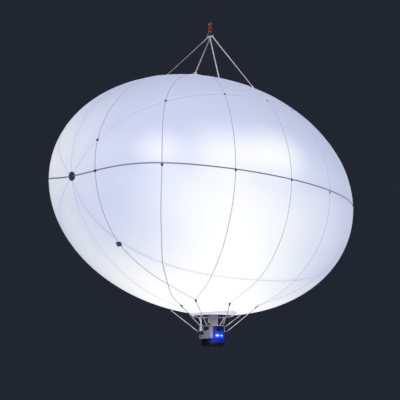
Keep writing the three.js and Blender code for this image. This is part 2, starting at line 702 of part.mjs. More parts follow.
// Sling: four legs from the link's bar to bows on the crown. At its foot, a leg's eye hooks the bow as
// one chain link does the next, and at its top it lies round the bar.
function buildSling() {
  SLING_LEGS.forEach(({ x, y, along }, index) => {
    const { foot, normal } = slingFoot(x, y);
    const onBar = new THREE.Vector3(0, along, LINK.barZ);
    const pull = onBar.clone().sub(foot).normalize();
    const side = new THREE.Vector3().crossVectors(normal, pull).normalize();

    const lift = 2 + GAP + BOW.tube + BOW.r * pull.dot(normal);
    const bowCentre = foot.clone().addScaledVector(normal, lift);
    const bowPlane = new THREE.Vector3().crossVectors(side, pull).normalize();
    const bow = solid(ringAt(bowCentre, BOW, bowPlane)).subtract(ENVELOPE);
    const patch = pad(foot, normal, SLING_PATCH.r, SLING_PATCH.thick).add(bow);
    add(`sling_patch_${index + 1}`, geometryOf(patch), PAINT.white);

    const hooked = BOW.r - BOW.tube - LEG_EYE.tube - GAP + LEG_EYE.r;
    const lowEye = bowCentre.clone().addScaledVector(pull, hooked);
    const steep = Math.sqrt(1 - pull.y ** 2);
    const seat = (LINK.tube + TOP_EYE.tube + GAP) / steep;
    const highEye = onBar.clone().addScaledVector(pull, seat - TOP_EYE.r);
    const across = BAR_LINE.clone().addScaledVector(pull, -pull.y).normalize();
    const leg = solid(
      rod(
        lowEye.clone().addScaledVector(pull, LEG_EYE.r),
        highEye.clone().addScaledVector(pull, -TOP_EYE.r),
        SLING_R,
        10,
      ),
    )
      .add(solid(ringAt(lowEye, LEG_EYE, side)))
      .add(solid(ringAt(highEye, TOP_EYE, across)));
    add(`sling_leg_${index + 1}`, geometryOf(leg), PAINT.sling);
  });
}

// Swivel eye, the yoke that turns on its stem, and the three-cornered link with the sling's bar
function buildSwivel() {
  const eye = new THREE.TorusGeometry(EYE.r, EYE.tube, 10, 24)
    .rotateX(Math.PI / 2)
    .translate(0, 0, EYE.tube - EYE.r);
  const stemTop = 2 * (EYE.tube - EYE.r) - EYE.tube / 2;
  const swivelEye = solid(eye)
    .add(solid(upright(STEM.r, STEM.headBottom, stemTop, 20)))
    .add(solid(upright(STEM.head, STEM.headBottom, STEM.headTop, 20)));
  add("swivel_eye", geometryOf(swivelEye), PAINT.steel);

  const bell = turned([
    [YOKE.hole, YOKE.ceiling], [YOKE.cavity, YOKE.ceiling], [YOKE.cavity, YOKE.rim],
    [YOKE.r, YOKE.rim], [YOKE.r, YOKE.top - YOKE_SHOULDER.down],
    [YOKE.r - YOKE_SHOULDER.in, YOKE.top], [YOKE.hole, YOKE.top],
  ], 28);
  let yoke = solid(bell);
  const cheekThick = YOKE.r - YOKE.cavity;
  for (const side of [-1, 1]) {
    const tall = YOKE.rim - YOKE.foot + CHEEK.overlap;
    const cheek = new THREE.BoxGeometry(cheekThick, CHEEK.wide, tall)
      .translate(side * (YOKE.cavity + cheekThick / 2), 0, YOKE.foot + tall / 2);
    yoke = yoke.add(solid(cheek));
  }
  const pinEnd = (x) => new THREE.Vector3(x, 0, YOKE_PIN.z);
  yoke = yoke.add(solid(rod(pinEnd(-YOKE.r), pinEnd(YOKE.r), YOKE_PIN.r, 16)));
  add("swivel_yoke", geometryOf(yoke), PAINT.red);

  const topZ = YOKE_PIN.z + YOKE_PIN.r + LINK.tube + GAP;
  const corners = [
    new THREE.Vector3(0, -LINK.crest, topZ),
    new THREE.Vector3(0, LINK.crest, topZ),
    new THREE.Vector3(0, LINK.half, LINK.barZ),
    new THREE.Vector3(0, -LINK.half, LINK.barZ),
  ];
  let link = null;
  corners.forEach((corner, index) => {
    const next = corners[(index + 1) % corners.length];
    const knuckle = solid(new THREE.SphereGeometry(LINK.tube, 10, 6).translate(...corner.toArray()));
    const bar = solid(rod(corner, next, LINK.tube, 12));
    link = link ? link.add(knuckle).add(bar) : knuckle.add(bar);
  });
  add("sling_link", geometryOf(link), PAINT.steel);
}

buildEnvelope();
buildEndPatches();
buildMouth();
buildUnit();
buildCrownPlate();
buildStays();
buildLoadTapes();
buildSidePatches();
buildSling();
buildSwivel();

export default part;
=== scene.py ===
import json
from math import asin, atan2, cos, degrees, exp, pi, radians, sin, sqrt

import bmesh
import bpy
from mathutils import Matrix, Vector, noise

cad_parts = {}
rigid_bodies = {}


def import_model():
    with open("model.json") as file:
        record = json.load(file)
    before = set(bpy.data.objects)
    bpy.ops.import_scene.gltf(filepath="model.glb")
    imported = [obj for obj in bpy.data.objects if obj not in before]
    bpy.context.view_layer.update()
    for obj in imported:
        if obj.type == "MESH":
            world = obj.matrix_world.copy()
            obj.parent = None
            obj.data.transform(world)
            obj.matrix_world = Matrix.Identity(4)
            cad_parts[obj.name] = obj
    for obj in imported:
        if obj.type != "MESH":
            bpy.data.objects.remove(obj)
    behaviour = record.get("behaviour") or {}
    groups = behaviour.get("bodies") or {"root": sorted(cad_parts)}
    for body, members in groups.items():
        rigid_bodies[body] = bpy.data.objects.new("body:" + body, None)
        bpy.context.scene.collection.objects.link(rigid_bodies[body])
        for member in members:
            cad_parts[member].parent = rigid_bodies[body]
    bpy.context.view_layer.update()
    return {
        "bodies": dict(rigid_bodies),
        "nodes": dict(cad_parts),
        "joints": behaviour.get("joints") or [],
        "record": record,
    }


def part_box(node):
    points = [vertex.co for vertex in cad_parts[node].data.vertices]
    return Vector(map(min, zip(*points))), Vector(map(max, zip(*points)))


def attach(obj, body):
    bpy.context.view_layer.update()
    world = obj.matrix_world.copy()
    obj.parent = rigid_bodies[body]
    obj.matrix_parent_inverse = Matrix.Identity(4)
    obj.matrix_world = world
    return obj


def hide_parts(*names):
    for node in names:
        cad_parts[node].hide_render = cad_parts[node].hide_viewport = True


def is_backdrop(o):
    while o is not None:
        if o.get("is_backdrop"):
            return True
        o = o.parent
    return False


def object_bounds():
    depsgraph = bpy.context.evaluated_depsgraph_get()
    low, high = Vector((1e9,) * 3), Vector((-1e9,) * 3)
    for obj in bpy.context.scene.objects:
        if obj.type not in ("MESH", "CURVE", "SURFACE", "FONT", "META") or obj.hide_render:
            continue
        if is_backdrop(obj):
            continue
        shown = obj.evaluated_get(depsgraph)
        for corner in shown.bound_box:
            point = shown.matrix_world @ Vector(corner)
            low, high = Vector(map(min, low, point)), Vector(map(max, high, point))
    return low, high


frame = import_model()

scene = bpy.context.scene

# Camera: it stands at floor level, some eighteen metres off on the near left, and looks up
# at the balloon with a moderately long lens.
CAMERA_PLACE = Vector((-13.692, -10.893, -6.127))
CAMERA_FORWARD = Vector((0.7628, 0.6197, 0.1845)).normalized()
CAMERA_ROLL = -0.00701
CAMERA_LENS = 104.67


def add_object(name, data):
    """A new object in the scene."""
    piece = bpy.data.objects.new(name, data)
    scene.collection.objects.link(piece)
    return piece


level_right = Vector((CAMERA_FORWARD.y, -CAMERA_FORWARD.x, 0)).normalized()
level_up = level_right.cross(CAMERA_FORWARD)
camera_x = level_right * cos(CAMERA_ROLL) + level_up * sin(CAMERA_ROLL)
camera_y = level_up * cos(CAMERA_ROLL) - level_right * sin(CAMERA_ROLL)
camera_turn = Matrix((camera_x, camera_y, -CAMERA_FORWARD)).transposed().to_4x4()
camera = add_object("camera", bpy.data.cameras.new("camera"))
camera.data.lens = CAMERA_LENS
camera.data.sensor_width = 36
camera.data.clip_end = 200
camera.matrix_world = Matrix.Translation(CAMERA_PLACE) @ camera_turn
scene.camera = camera
scene.view_settings.view_transform = "Standard"

# Floor: a wide grey floor just below the camera, finely mottled like sealed concrete.
FLOOR_Z = -6.3
FLOOR_RADIUS = 40
floor_mesh = bmesh.new()
bmesh.ops.create_circle(floor_mesh, cap_ends=True, segments=96, radius=FLOOR_RADIUS)
bmesh.ops.translate(floor_mesh, verts=floor_mesh.verts, vec=(0, 0, FLOOR_Z))
floor = add_object("floor", bpy.data.meshes.new("floor"))
floor_mesh.to_mesh(floor.data)


def shader_input(material, name):
    """An input of the material's Principled shader."""
    return material.node_tree.nodes["Principled BSDF"].inputs[name]


def new_material(name, colour, roughness, **more):
    """A material with one Principled shader; more of its inputs can be named, with _ for a space."""
    material = bpy.data.materials.new(name)
    material.use_nodes = True
    for label, value in {"Base_Color": (*colour, 1), "Roughness": roughness, **more}.items():
        shader_input(material, label.replace("_", " ")).default_value = value
    return material


def add_node(material, kind, **settings):
    """A node in that material, with its properties set."""
    node = material.node_tree.nodes.new(kind)
    for key, value in settings.items():
        setattr(node, key, value)
    return node


def join(start, end):
    """Links an output socket to an input socket."""
    end.id_data.links.new(start, end)


def object_noise(material, scale, detail=4.0, stretch=(1, 1, 1)):
    """Noise on the object's own coordinates, stretched along the axes; gives its output socket."""
    place = add_node(material, "ShaderNodeTexCoord")
    mapping = add_node(material, "ShaderNodeMapping")
    mapping.inputs["Scale"].default_value = stretch
    cloud = add_node(material, "ShaderNodeTexNoise")
    cloud.inputs["Scale"].default_value = scale
    cloud.inputs["Detail"].default_value = detail
    join(place.outputs["Object"], mapping.inputs["Vector"])
    join(mapping.outputs["Vector"], cloud.inputs["Vector"])
    return cloud.outputs["Fac"]


def ramp_between(material, socket, stops):
    """A colour ramp over a value, from place and colour pairs; gives its output socket."""
    ramp = add_node(material, "ShaderNodeValToRGB")
    elements = ramp.color_ramp.elements
    while len(elements) < len(stops):
        elements.new(1.0)
    for element, (place, colour) in zip(elements, stops):
        element.position = place
        element.color = (*colour, 1)
    join(socket, ramp.inputs["Fac"])
    return ramp.outputs["Color"]


def mottle(material, socket, colour, spread):
    """Base colour that wanders a little either side of the given one."""
    dark = tuple(max(0.0, c * (1 - spread)) for c in colour)
    light = tuple(min(1.0, c * (1 + spread)) for c in colour)
    output = ramp_between(material, socket, ((0.35, dark), (0.65, light)))
    join(output, shader_input(material, "Base Color"))
    return output


floor_paint = new_material("floor_concrete", (0.5, 0.5, 0.5), 0.6)
mottle(floor_paint, object_noise(floor_paint, 1.5, 8), (0.49, 0.49, 0.49), 0.1)
floor.data.materials.append(floor_paint)
floor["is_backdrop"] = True

# Lights: a dark evening surround with three large soft panels and a small low one, so that the
# glowing cloth still gives most of the light that falls on the sling.
world = bpy.data.worlds.new("surround")
world.use_nodes = True
world.node_tree.nodes["Background"].inputs["Color"].default_value = (0.016, 0.0195, 0.030, 1)
world.node_tree.nodes["Background"].inputs["Strength"].default_value = 1.0
scene.world = world
LIGHTS = (
    # name, place, aim, side, watts, spread in degrees, colour
    ("key_panel", (-12, -9, 1), (0, 0, -3.5), 6, 420, 180, (1.0, 0.97, 0.93)),
    ("fill_panel", (-3, -14, -3), (0, 0, -4), 7, 260, 180, (0.86, 0.9, 1.0)),
    ("back_panel", (9, 10, 3), (0, 0, -2), 7, 300, 180, (0.9, 0.93, 1.0)),
    ("low_panel", (-5.6, -4.4, -5.85), (0, 0, -4.85), 1.0, 3, 24, (0.97, 0.95, 1.0)),
)
for name, place, aim, side, watts, spread, colour in LIGHTS:
    panel = bpy.data.lights.new(name, "AREA")
    panel.shape = "SQUARE"
    panel.size = side
    panel.energy = watts
    panel.spread = radians(spread)
    panel.color = colour
    lamp = add_object(name, panel)
    lamp.location = place
    lamp.rotation_euler = (Vector(aim) - Vector(place)).to_track_quat("-Z", "Y").to_euler()

# Envelope: eight gores of thin coated nylon, sewn along seams that run from tip to tip, held
# out by air and lit from inside; the two keel gores are cut round the mouth.
GORES = {
    # node: the seam below it and the seam above it, numbered round from the near mid seam
    "gore_front_upper": (0, 1),
    "gore_front_crown": (1, 2),
    "gore_back_crown": (2, 3),
    "gore_back_upper": (3, 4),
    "gore_back_lower": (4, 5),
    "gore_back_keel": (5, 6),
    "gore_front_keel": (6, 7),
    "gore_front_lower": (7, 8),
}
gore_boxes = [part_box(node) for node in GORES]
half_width = max(high.y for _, high in gore_boxes)
crown_z = max(high.z for _, high in gore_boxes)
HALF_LENGTH = 3.0
HALF_HEIGHT = 1.8
centre_z = crown_z - HALF_HEIGHT
TIP_DROOP = 0.08
TIP_DROOP_POWER = 12
TIP_HOLE = 0.042
CLOTH = 0.003
PUCKER = 0.0035
PUCKER_REACH = 0.11
GORE_STEPS = 210
GORE_STRIPS = 30
MOUTH_RADIUS = 0.292


def envelope_point(x, angle):
    """The cloth at a place along it (-1 to 1) and round it (radians up from the near mid seam)."""
    ring = sqrt(max(0.0, 1 - x * x))
    point = Vector((x, -ring * cos(angle), ring * sin(angle)))
    point.z -= TIP_DROOP * abs(x) ** TIP_DROOP_POWER
    point.normalize()
    return Vector((point.x * HALF_LENGTH, point.y * half_width, centre_z + point.z * HALF_HEIGHT))


def envelope_normal(point):
    """The outward direction at a point of the cloth."""
    return Vector((
        point.x / HALF_LENGTH ** 2,
        point.y / half_width ** 2,
        (point.z - centre_z) / HALF_HEIGHT ** 2,
    )).normalized()


def lower_seam(x):
    """How far round below the mid seam the low seam runs: it dips towards one end."""
    run = -x
    return radians(50 + 8 * run + (20 * run * run if run > 0 else 0))


SEAM_ANGLES = (
    lambda x: 0.0,
    lambda x: radians(46),
    lambda x: radians(90),
    lambda x: radians(134),
    lambda x: radians(180),
    lambda x: radians(180) + lower_seam(-x),
    lambda x: radians(270),
    lambda x: radians(360) - lower_seam(x),
    lambda x: radians(360),
)


def seam_pucker(x, seam):
    """Small puckers that run off a seam at right angles, gone at the tips."""
    fade = min(1.0, max(0.0, (0.995 - abs(x)) / 0.12))
    place = asin(x) * HALF_LENGTH
    fine = noise.noise(Vector((place * 9.0, seam % 8 * 5.3, 1.7)))
    broad = noise.noise(Vector((place * 3.1, seam % 8 * 3.9, 7.1)))
    return PUCKER * fade * (fine + 0.6 * broad)


def sheet_object(name, rows, columns, outer, inner, uv, distances):
    """Thin cloth from an outer and an inner grid of points, closed round its rim."""
    points = outer + inner
    count = rows * columns
    faces = []
    for row in range(rows - 1):
        for column in range(columns - 1):
            a = row * columns + column
            faces.append((a, a + columns, a + columns + 1, a + 1))
            faces.append((count + a, count + a + 1, count + a + columns + 1, count + a + columns))
    rim = list(range(columns))
    rim += [row * columns + columns - 1 for row in range(1, rows)]
    rim += [(rows - 1) * columns + column for column in range(columns - 2, -1, -1)]
    rim += [row * columns for row in range(rows - 2, 0, -1)]
    for index, a in enumerate(rim):
        b = rim[(index + 1) % len(rim)]
        faces.append((a, b, count + b, count + a))
    mesh = bpy.data.meshes.new(name)
    mesh.from_pydata(points, [], faces)
    layer = mesh.uv_layers.new(name="cloth")
    for loop in mesh.loops:
        layer.data[loop.index].uv = uv[loop.vertex_index % count]
    attribute = mesh.attributes.new("seam_distance", "FLOAT", "POINT")
    for index in range(len(points)):
        attribute.data[index].value = distances[index % count]
    mesh.shade_smooth()
    mesh.update()
    return add_object(name, mesh)


def gore_piece(name, below, above):
    """One gore as thin cloth, with puckers along its two seams."""
    tip = asin(TIP_HOLE / half_width)
    outer, inner, uv, distances = [], [], [], []
    for step in range(GORE_STEPS + 1):
        x = -cos(tip + (pi - 2 * tip) * step / GORE_STEPS)
        start = SEAM_ANGLES[below](x)
        end = SEAM_ANGLES[above](x)
        low_pucker = seam_pucker(x, below)
        high_pucker = seam_pucker(x, above)
        turns = [start + (end - start) * k / GORE_STRIPS for k in range(GORE_STRIPS + 1)]
        line = [envelope_point(x, turn) for turn in turns]
        lengths = [0.0]
        for k in range(GORE_STRIPS):
            lengths.append(lengths[-1] + (line[k + 1] - line[k]).length)
        for k, point in enumerate(line):
            from_low = lengths[k]
            from_high = lengths[-1] - lengths[k]
            lift = low_pucker * exp(-(from_low / PUCKER_REACH) ** 2)
            lift += high_pucker * exp(-(from_high / PUCKER_REACH) ** 2)
            normal = envelope_normal(point)
            outer.append(point + normal * lift)
            inner.append(point + normal * (lift - CLOTH))
            uv.append((asin(x) * HALF_LENGTH, from_low - lengths[-1] / 2))
            distances.append(min(from_low, from_high))
    return sheet_object(name, GORE_STEPS + 1, GORE_STRIPS + 1, outer, inner, uv, distances)


def bump(material, socket, depth):
    """Bump of that depth in metres from a value."""
    node = add_node(material, "ShaderNodeBump")
    node.inputs["Distance"].default_value = depth
    join(socket, node.inputs["Height"])
    join(node.outputs["Normal"], shader_input(material, "Normal"))


def map_range(material, value, start, end, low=0.0, high=1.0, smooth=False):
    """Carries a value from one range over to another; gives its output socket."""
    way = "SMOOTHSTEP" if smooth else "LINEAR"
    node = add_node(material, "ShaderNodeMapRange", interpolation_type=way)
    for name, number in (("From Min", start), ("From Max", end), ("To Min", low), ("To Max", high)):
        node.inputs[name].default_value = number
    join(value, node.inputs["Value"])
    return node.outputs["Result"]


def glowing(material, light, strength=1.0):
    """Lets a finish give off light, of one colour all over or from a socket."""
    socket = shader_input(material, "Emission Color")
    if isinstance(light, tuple):
        socket.default_value = (*light, 1)
    else:
        join(light, socket)
    shader_input(material, "Emission Strength").default_value = strength


def maths(material, operation, first, second=None, third=None):
    """A Math node on values or sockets; gives its output socket."""
    node = add_node(material, "ShaderNodeMath", operation=operation)
    for index, value in enumerate((first, second, third)):
        if value is None:
            continue
        if isinstance(value, (int, float)):
            node.inputs[index].default_value = value
        else:
            join(value, node.inputs[index])
    return node.outputs["Value"]


def vector_maths(material, operation, first, second):
    """A Vector Math node on a socket and a fixed vector; gives its node."""
    node = add_node(material, "ShaderNodeVectorMath", operation=operation)
    join(first, node.inputs[0])
    node.inputs[1].default_value = second
    return node


def unit_direction(latitude, azimuth):
    """A direction from the envelope's centre, azimuth 0 at the left end and 90 on the near side."""
    high, turn = radians(latitude), radians(azimuth)
    return Vector((-cos(high) * cos(turn), -cos(high) * sin(turn), sin(high)))


LIT_PLACES = (
    # latitude, azimuth, radius of the lit place, share of full white
    (-26, 83, 60, 0.44),
    (-71, 62, 50, 0.86),
    (11, 79, 18, 0.60),
    (8, 60, 19, 0.43),
    (6, 37, 13, 0.40),
    (-22, 56, 42, 0.47),
    (-50, -6, 43, 0.60),
    (5, -19, 49, 0.58),
    (68, 100, 16, 0.20),
)
GLOW = (
    # share of full white, colour of the lit cloth
    (0.0, (0.420, 0.460, 0.640)),
    (0.25, (0.545, 0.580, 0.720)),
    (0.5, (0.675, 0.700, 0.770)),
    (0.75, (0.800, 0.805, 0.810)),
    (1.0, (0.930, 0.920, 0.920)),
)
TURNS = (0, 180)
RIPPLE_REACH = 0.20
RIPPLE_PAINTED_SHADE = 0.12
RIPPLE_SCALE = (26.0, 1.6, 0)  # ripples a metre along the seam and across it


def cloth_material():
    """White coated nylon lit from inside: lavender above, near white where the lamps are near it, with
    painted shade of the puckers along the seams.
    """
    material = new_material("lit_nylon", (0.6, 0.61, 0.68), 0.5, Sheen_Weight=0.12)
    place = add_node(material, "ShaderNodeTexCoord").outputs["Object"]
    centred = vector_maths(material, "SUBTRACT", place, (0, 0, centre_z)).outputs["Vector"]
    halves = (HALF_LENGTH, half_width, HALF_HEIGHT)
    scaled = vector_maths(material, "DIVIDE", centred, halves).outputs["Vector"]
    unit = vector_maths(material, "NORMALIZE", scaled, (0, 0, 0)).outputs["Vector"]
    total = 0.0
    for latitude, azimuth, radius, share in LIT_PLACES:
        for turn in TURNS:
            toward = unit_direction(latitude, azimuth + turn)
            closeness = vector_maths(material, "DOT_PRODUCT", unit, toward).outputs["Value"]
            away = maths(material, "ARCCOSINE", closeness)
            spot = map_range(material, away, radians(radius), 0.0, 0.0, share, smooth=True)
            total = maths(material, "ADD", spot, total)
    uv = add_node(material, "ShaderNodeUVMap", uv_map="cloth").outputs["UV"]
    ripples = add_node(material, "ShaderNodeTexNoise")
    ripples.inputs["Scale"].default_value = 1.0
    ripples.inputs["Detail"].default_value = 3.0
    stretched = vector_maths(material, "MULTIPLY", uv, RIPPLE_SCALE).outputs["Vector"]
    join(stretched, ripples.inputs["Vector"])
    distance = add_node(material, "ShaderNodeAttribute", attribute_name="seam_distance").outputs["Fac"]
    near_seam = map_range(material, distance, RIPPLE_REACH, 0.0, smooth=True)
    height = maths(material, "MULTIPLY", ripples.outputs["Fac"], near_seam)
    level = maths(material, "MINIMUM", total, 1.0)
    # The ripples near the seams dim and lift the glow a little: painted shade and painted light of the
    # puckers.
    bright = maths(material, "MULTIPLY_ADD", height, -RIPPLE_PAINTED_SHADE, level)
    glowing(material, ramp_between(material, bright, GLOW))
    weave = maths(material, "MULTIPLY", object_noise(material, 900, 2), 0.1)
    bump(material, maths(material, "ADD", weave, height), 0.004)
    return material


def made_solid(piece, material):
    """Works a piece's modifiers into its mesh, which then has that one material."""
    worked = piece.evaluated_get(bpy.context.evaluated_depsgraph_get())
    piece_mesh = bpy.data.meshes.new_from_object(worked)
    piece.modifiers.clear()
    piece.data = piece_mesh
    piece_mesh.materials.clear()
    piece_mesh.materials.append(material)


def cut_away(piece, cutter, material):
    """Takes one object's shape out of another's, and then the first out of the scene."""
    cut = piece.modifiers.new("cut", "BOOLEAN")
    cut.object = cutter
    cut.operation = "DIFFERENCE"
    cut.solver = "EXACT"
    made_solid(piece, material)
    bpy.data.objects.remove(cutter)


def carried(piece, slot, *nodes, body="balloon"):
    """The piece rides on a body and stands for those nodes; its slot is not used."""
    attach(piece, body)
    if nodes:
        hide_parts(*nodes)


lit_nylon = cloth_material()
for node, (below, above) in GORES.items():
    gore = gore_piece(node + "_cloth", below, above)
    gore.data.materials.append(lit_nylon)
    if "keel" in node:
        cutter_mesh = bmesh.new()
        bmesh.ops.create_cone(
            cutter_mesh, cap_ends=True, segments=192, radius1=MOUTH_RADIUS, radius2=MOUTH_RADIUS,
            depth=1.0, matrix=Matrix.Translation((0, 0, centre_z - HALF_HEIGHT)),
        )
        cutter = add_object("mouth_cutter", bpy.data.meshes.new("mouth_cutter"))
        cutter_mesh.to_mesh(cutter.data)
        cut_away(gore, cutter, lit_nylon)
    carried(gore, "envelope_cloth", node)

# Seams: a narrow bound strip covers each and lies a little proud of the cloth. They run from one
# end patch to the other, and the bottom one stops short of the mouth on both sides.
SEAM_WIDTH = 0.010
SEAM_THICK = 0.0014
SEAM_LIFT = -0.0008


def skin(mesh, rings, closed=False):
    """Faces between rings of points that follow each other; a ring of one point is a pole."""
    pairs = list(zip(rings, rings[1:]))
    if closed:
        pairs.append((rings[-1], rings[0]))
    for first, second in pairs:
        count = max(len(first), len(second))
        for k in range(count):
            n = (k + 1) % count
            low = [first[k % len(first)], first[n % len(first)]]
            high = [second[n % len(second)], second[k % len(second)]]
            corners = list(dict.fromkeys(low + high))
            if len(corners) > 2:
                mesh.faces.new(corners)


def strip_mesh(mesh, path, normals, width, thick, lift=0.0, sides=None):
    """Adds a flat strip along points, with its back on the cloth and its edges a little chamfered."""
    rows = []
    for index, (point, normal) in enumerate(zip(path, normals)):
        ahead = path[min(index + 1, len(path) - 1)]
        behind = path[max(index - 1, 0)]
        side = sides[index] if sides else (ahead - behind).cross(normal).normalized()
        edge, shoulder = side * (width / 2), side * (width / 2 - thick * 0.4)
        corners = (
            point - edge + normal * lift,
            point + edge + normal * lift,
            point + edge + normal * (lift + thick * 0.6),
            point + shoulder + normal * (lift + thick),
            point - shoulder + normal * (lift + thick),
            point - edge + normal * (lift + thick * 0.6),
        )
        rows.append([mesh.verts.new(corner) for corner in corners])
    skin(mesh, rows)
    mesh.faces.new(rows[0])
    mesh.faces.new(list(reversed(rows[-1])))


def solid_object(name, mesh, material, sharp=35):
    """A piece from bmesh data, smooth shaded with sharp edges where it turns by more than that angle."""
    bmesh.ops.recalc_face_normals(mesh, faces=mesh.faces)
    data = bpy.data.meshes.new(name)
    mesh.to_mesh(data)
    mesh.free()
    data.shade_smooth()
    data.set_sharp_from_angle(angle=radians(sharp))
    data.materials.append(material)
    return add_object(name, data)


def rounded_edges(piece, width, segments=2):
    """Breaks a piece's sharp edges, as casting, moulding or folding does."""
    edges = piece.modifiers.new("edges", "BEVEL")
    edges.width = width
    edges.segments = segments
    edges.limit_method = "ANGLE"
    edges.angle_limit = radians(40)
    edges.harden_normals = True


def fitted(name, mesh, material, slot, *nodes, edges=0.0, rounds=2, sharp=35, body="balloon"):
    """Makes a piece from bmesh data, rounds its edges and has a body carry it."""
    piece = solid_object(name, mesh, material, sharp)
    if edges:
        rounded_edges(piece, edges, rounds)
    carried(piece, slot, *nodes, body=body)


def seam_path(seam, steps=GORE_STEPS):
    """Points along one seam from tip to tip, over its puckers."""
    tip = asin(TIP_HOLE / half_width)
    path = []
    for step in range(steps + 1):
        x = -cos(tip + (pi - 2 * tip) * step / steps)
        point = envelope_point(x, SEAM_ANGLES[seam](x))
        path.append(point + envelope_normal(point) * seam_pucker(x, seam))
    return path


def cloth_normals(path):
    """The cloth's outward direction at each point of a path."""
    return [envelope_normal(point) for point in path]


def taped(name, paths, width, thick, lift, material, *nodes):
    """Flat strips along those paths on the cloth, as one piece."""
    mesh = bmesh.new()
    for path in paths:
        strip_mesh(mesh, path, cloth_normals(path), width, thick, lift)
    fitted(name, mesh, material, "tape", *nodes)


def woven_material(name, colour, glow, scale=420, sheen=0.2):
    """Woven polyester: ribbed, dull, with a glow: the lamps' light coming through where it lies on the
    envelope, painted light where it does not.
    """
    material = new_material(name, colour, 0.75, Sheen_Weight=sheen)
    glowing(material, glow)
    threads = object_noise(material, scale, 3)
    mottle(material, threads, colour, 0.2)
    bump(material, threads, 0.0006)
    return material


thin_binding = woven_material("thin_binding", (0.45, 0.44, 0.5), (0.42, 0.42, 0.58))
binding_paths = []
for seam in (1, 2, 3, 5, 6, 7):
    path = seam_path(seam)
    clear = [point for point in path if point.xy.length > MOUTH_RADIUS + 0.02 or point.z > centre_z]
    if len(clear) < len(path):
        binding_paths += [[p for p in clear if p.x < 0], [p for p in clear if p.x > 0]]
    else:
        binding_paths.append(clear)
taped("seam_bindings", binding_paths, SEAM_WIDTH, SEAM_THICK, SEAM_LIFT, thin_binding)

# Load tapes: polyester tape sewn over the cloth with a row of stitches down each edge. One runs
# round the mid seam, and six down each side, from the crown's cap to the stays' tabs.
LOAD_TAPE_WIDTH = 0.014
MID_TAPE_WIDTH = 0.020
TAPE_THICK = 0.002
TAPE_LIFT = 0.0006
STITCH_PITCH = 0.030
STITCH_SIZE = (0.016, 0.0018, 0.0012)
LOAD_TAPES = (
    # one tape a row: points of latitude and azimuth in degrees, from the crown down
    ((88, 8), (60, 9), (44, 13), (0, 12.5), (-34, 13.5), (-48, 19), (-56, 25.4), (-68, 38.2)),
    ((88, 37), (70, 37.2), (47, 35.4), (0, 37.9), (-29, 34.8), (-44, 30.4), (-56, 25.6), (-73, 12.4)),
    ((88, 58), (60, 58), (41, 61), (0, 62.6), (-32, 59.4), (-50, 54), (-59, 48.3), (-68, 38.2)),
    ((88, 92), (61, 88), (39, 84.6), (0, 84), (-28, 83), (-50, 80.6), (-69.7, 72.4)),
    ((88, 112), (60, 106), (38, 104), (0, 104.4), (-30, 105), (-48, 105.8), (-69, 107.7)),
    ((88, 142), (70, 142.8), (30, 133), (0, 130), (-30, 127), (-50, 121), (-69, 107.7)),
)


def new_tree(name, **inputs):
    """A Geometry Nodes tree with named inputs, and its group input and output nodes."""
    tree = bpy.data.node_groups.new(name, "GeometryNodeTree")
    tree.interface.new_socket("Geometry", in_out="INPUT", socket_type="NodeSocketGeometry")
    for label, kind in inputs.items():
        tree.interface.new_socket(label, in_out="INPUT", socket_type="NodeSocket" + kind)
    tree.interface.new_socket("Geometry", in_out="OUTPUT", socket_type="NodeSocketGeometry")
    return tree, tree.nodes.new("NodeGroupInput"), tree.nodes.new("NodeGroupOutput")


def wire(*links):
    """Links, each from a node's output to a node's input."""
    for start, output, end, entry in links:
        join(start.outputs[output], end.inputs[entry])


def facing_node(tree):
    """The way each point faces, from its cloth_normal attribute."""
    normal = tree.nodes.new("GeometryNodeInputNamedAttribute")
    normal.data_type = "FLOAT_VECTOR"
    normal.inputs["Name"].default_value = "cloth_normal"
    return normal


def end_tree(tree, place, entry, leave):
    """Ends a tree in Realize Instances and Set Material, and gives it."""
    real = tree.nodes.new("GeometryNodeRealizeInstances")
    finish = tree.nodes.new("GeometryNodeSetMaterial")
    wire(
        (place, "Instances", real, "Geometry"), (real, "Geometry", finish, "Geometry"),
        (entry, "Material", finish, "Material"), (finish, "Geometry", leave, "Geometry"),
    )
    return tree


def grow(tree, name, base, material, **values):
    """The tree's result on a base mesh, as a plain object with no modifier left on it."""
    piece = add_object(name, base)
    modifier = piece.modifiers.new("maker", "NODES")
    modifier.node_group = tree
    sockets = {item.name: item.identifier for item in tree.interface.items_tree if item.in_out == "INPUT"}
    for label, value in values.items():
        modifier[sockets[label]] = value
    modifier[sockets["Material"]] = material
    made_solid(piece, material)
    piece.data.name = name
    return piece


def stitch_tree():
    """Stitches at an even pitch along each polyline, laid flat by the cloth_normal attribute."""
    tree, entry, leave = new_tree("stitch_row", Pitch="Float", Stitch="Vector", Material="Material")
    curve = tree.nodes.new("GeometryNodeMeshToCurve")
    spaced = tree.nodes.new("GeometryNodeResampleCurve")
    spaced.mode = "LENGTH"
    thread = tree.nodes.new("GeometryNodeMeshCube")
    tangent = tree.nodes.new("GeometryNodeInputTangent")
    along = tree.nodes.new("FunctionNodeAlignRotationToVector")
    along.axis = "X"
    flat = tree.nodes.new("FunctionNodeAlignRotationToVector")
    flat.axis = "Z"
    flat.pivot_axis = "X"
    place = tree.nodes.new("GeometryNodeInstanceOnPoints")
    wire(
        (entry, "Geometry", curve, "Mesh"), (curve, "Curve", spaced, "Curve"),
        (entry, "Pitch", spaced, "Length"), (entry, "Stitch", thread, "Size"),
        (tangent, "Tangent", along, "Vector"), (along, "Rotation", flat, "Rotation"),
        (facing_node(tree), "Attribute", flat, "Vector"), (spaced, "Curve", place, "Points"),
        (thread, "Mesh", place, "Instance"), (flat, "Rotation", place, "Rotation"),
    )
    return end_tree(tree, place, entry, leave)


stitches = stitch_tree()


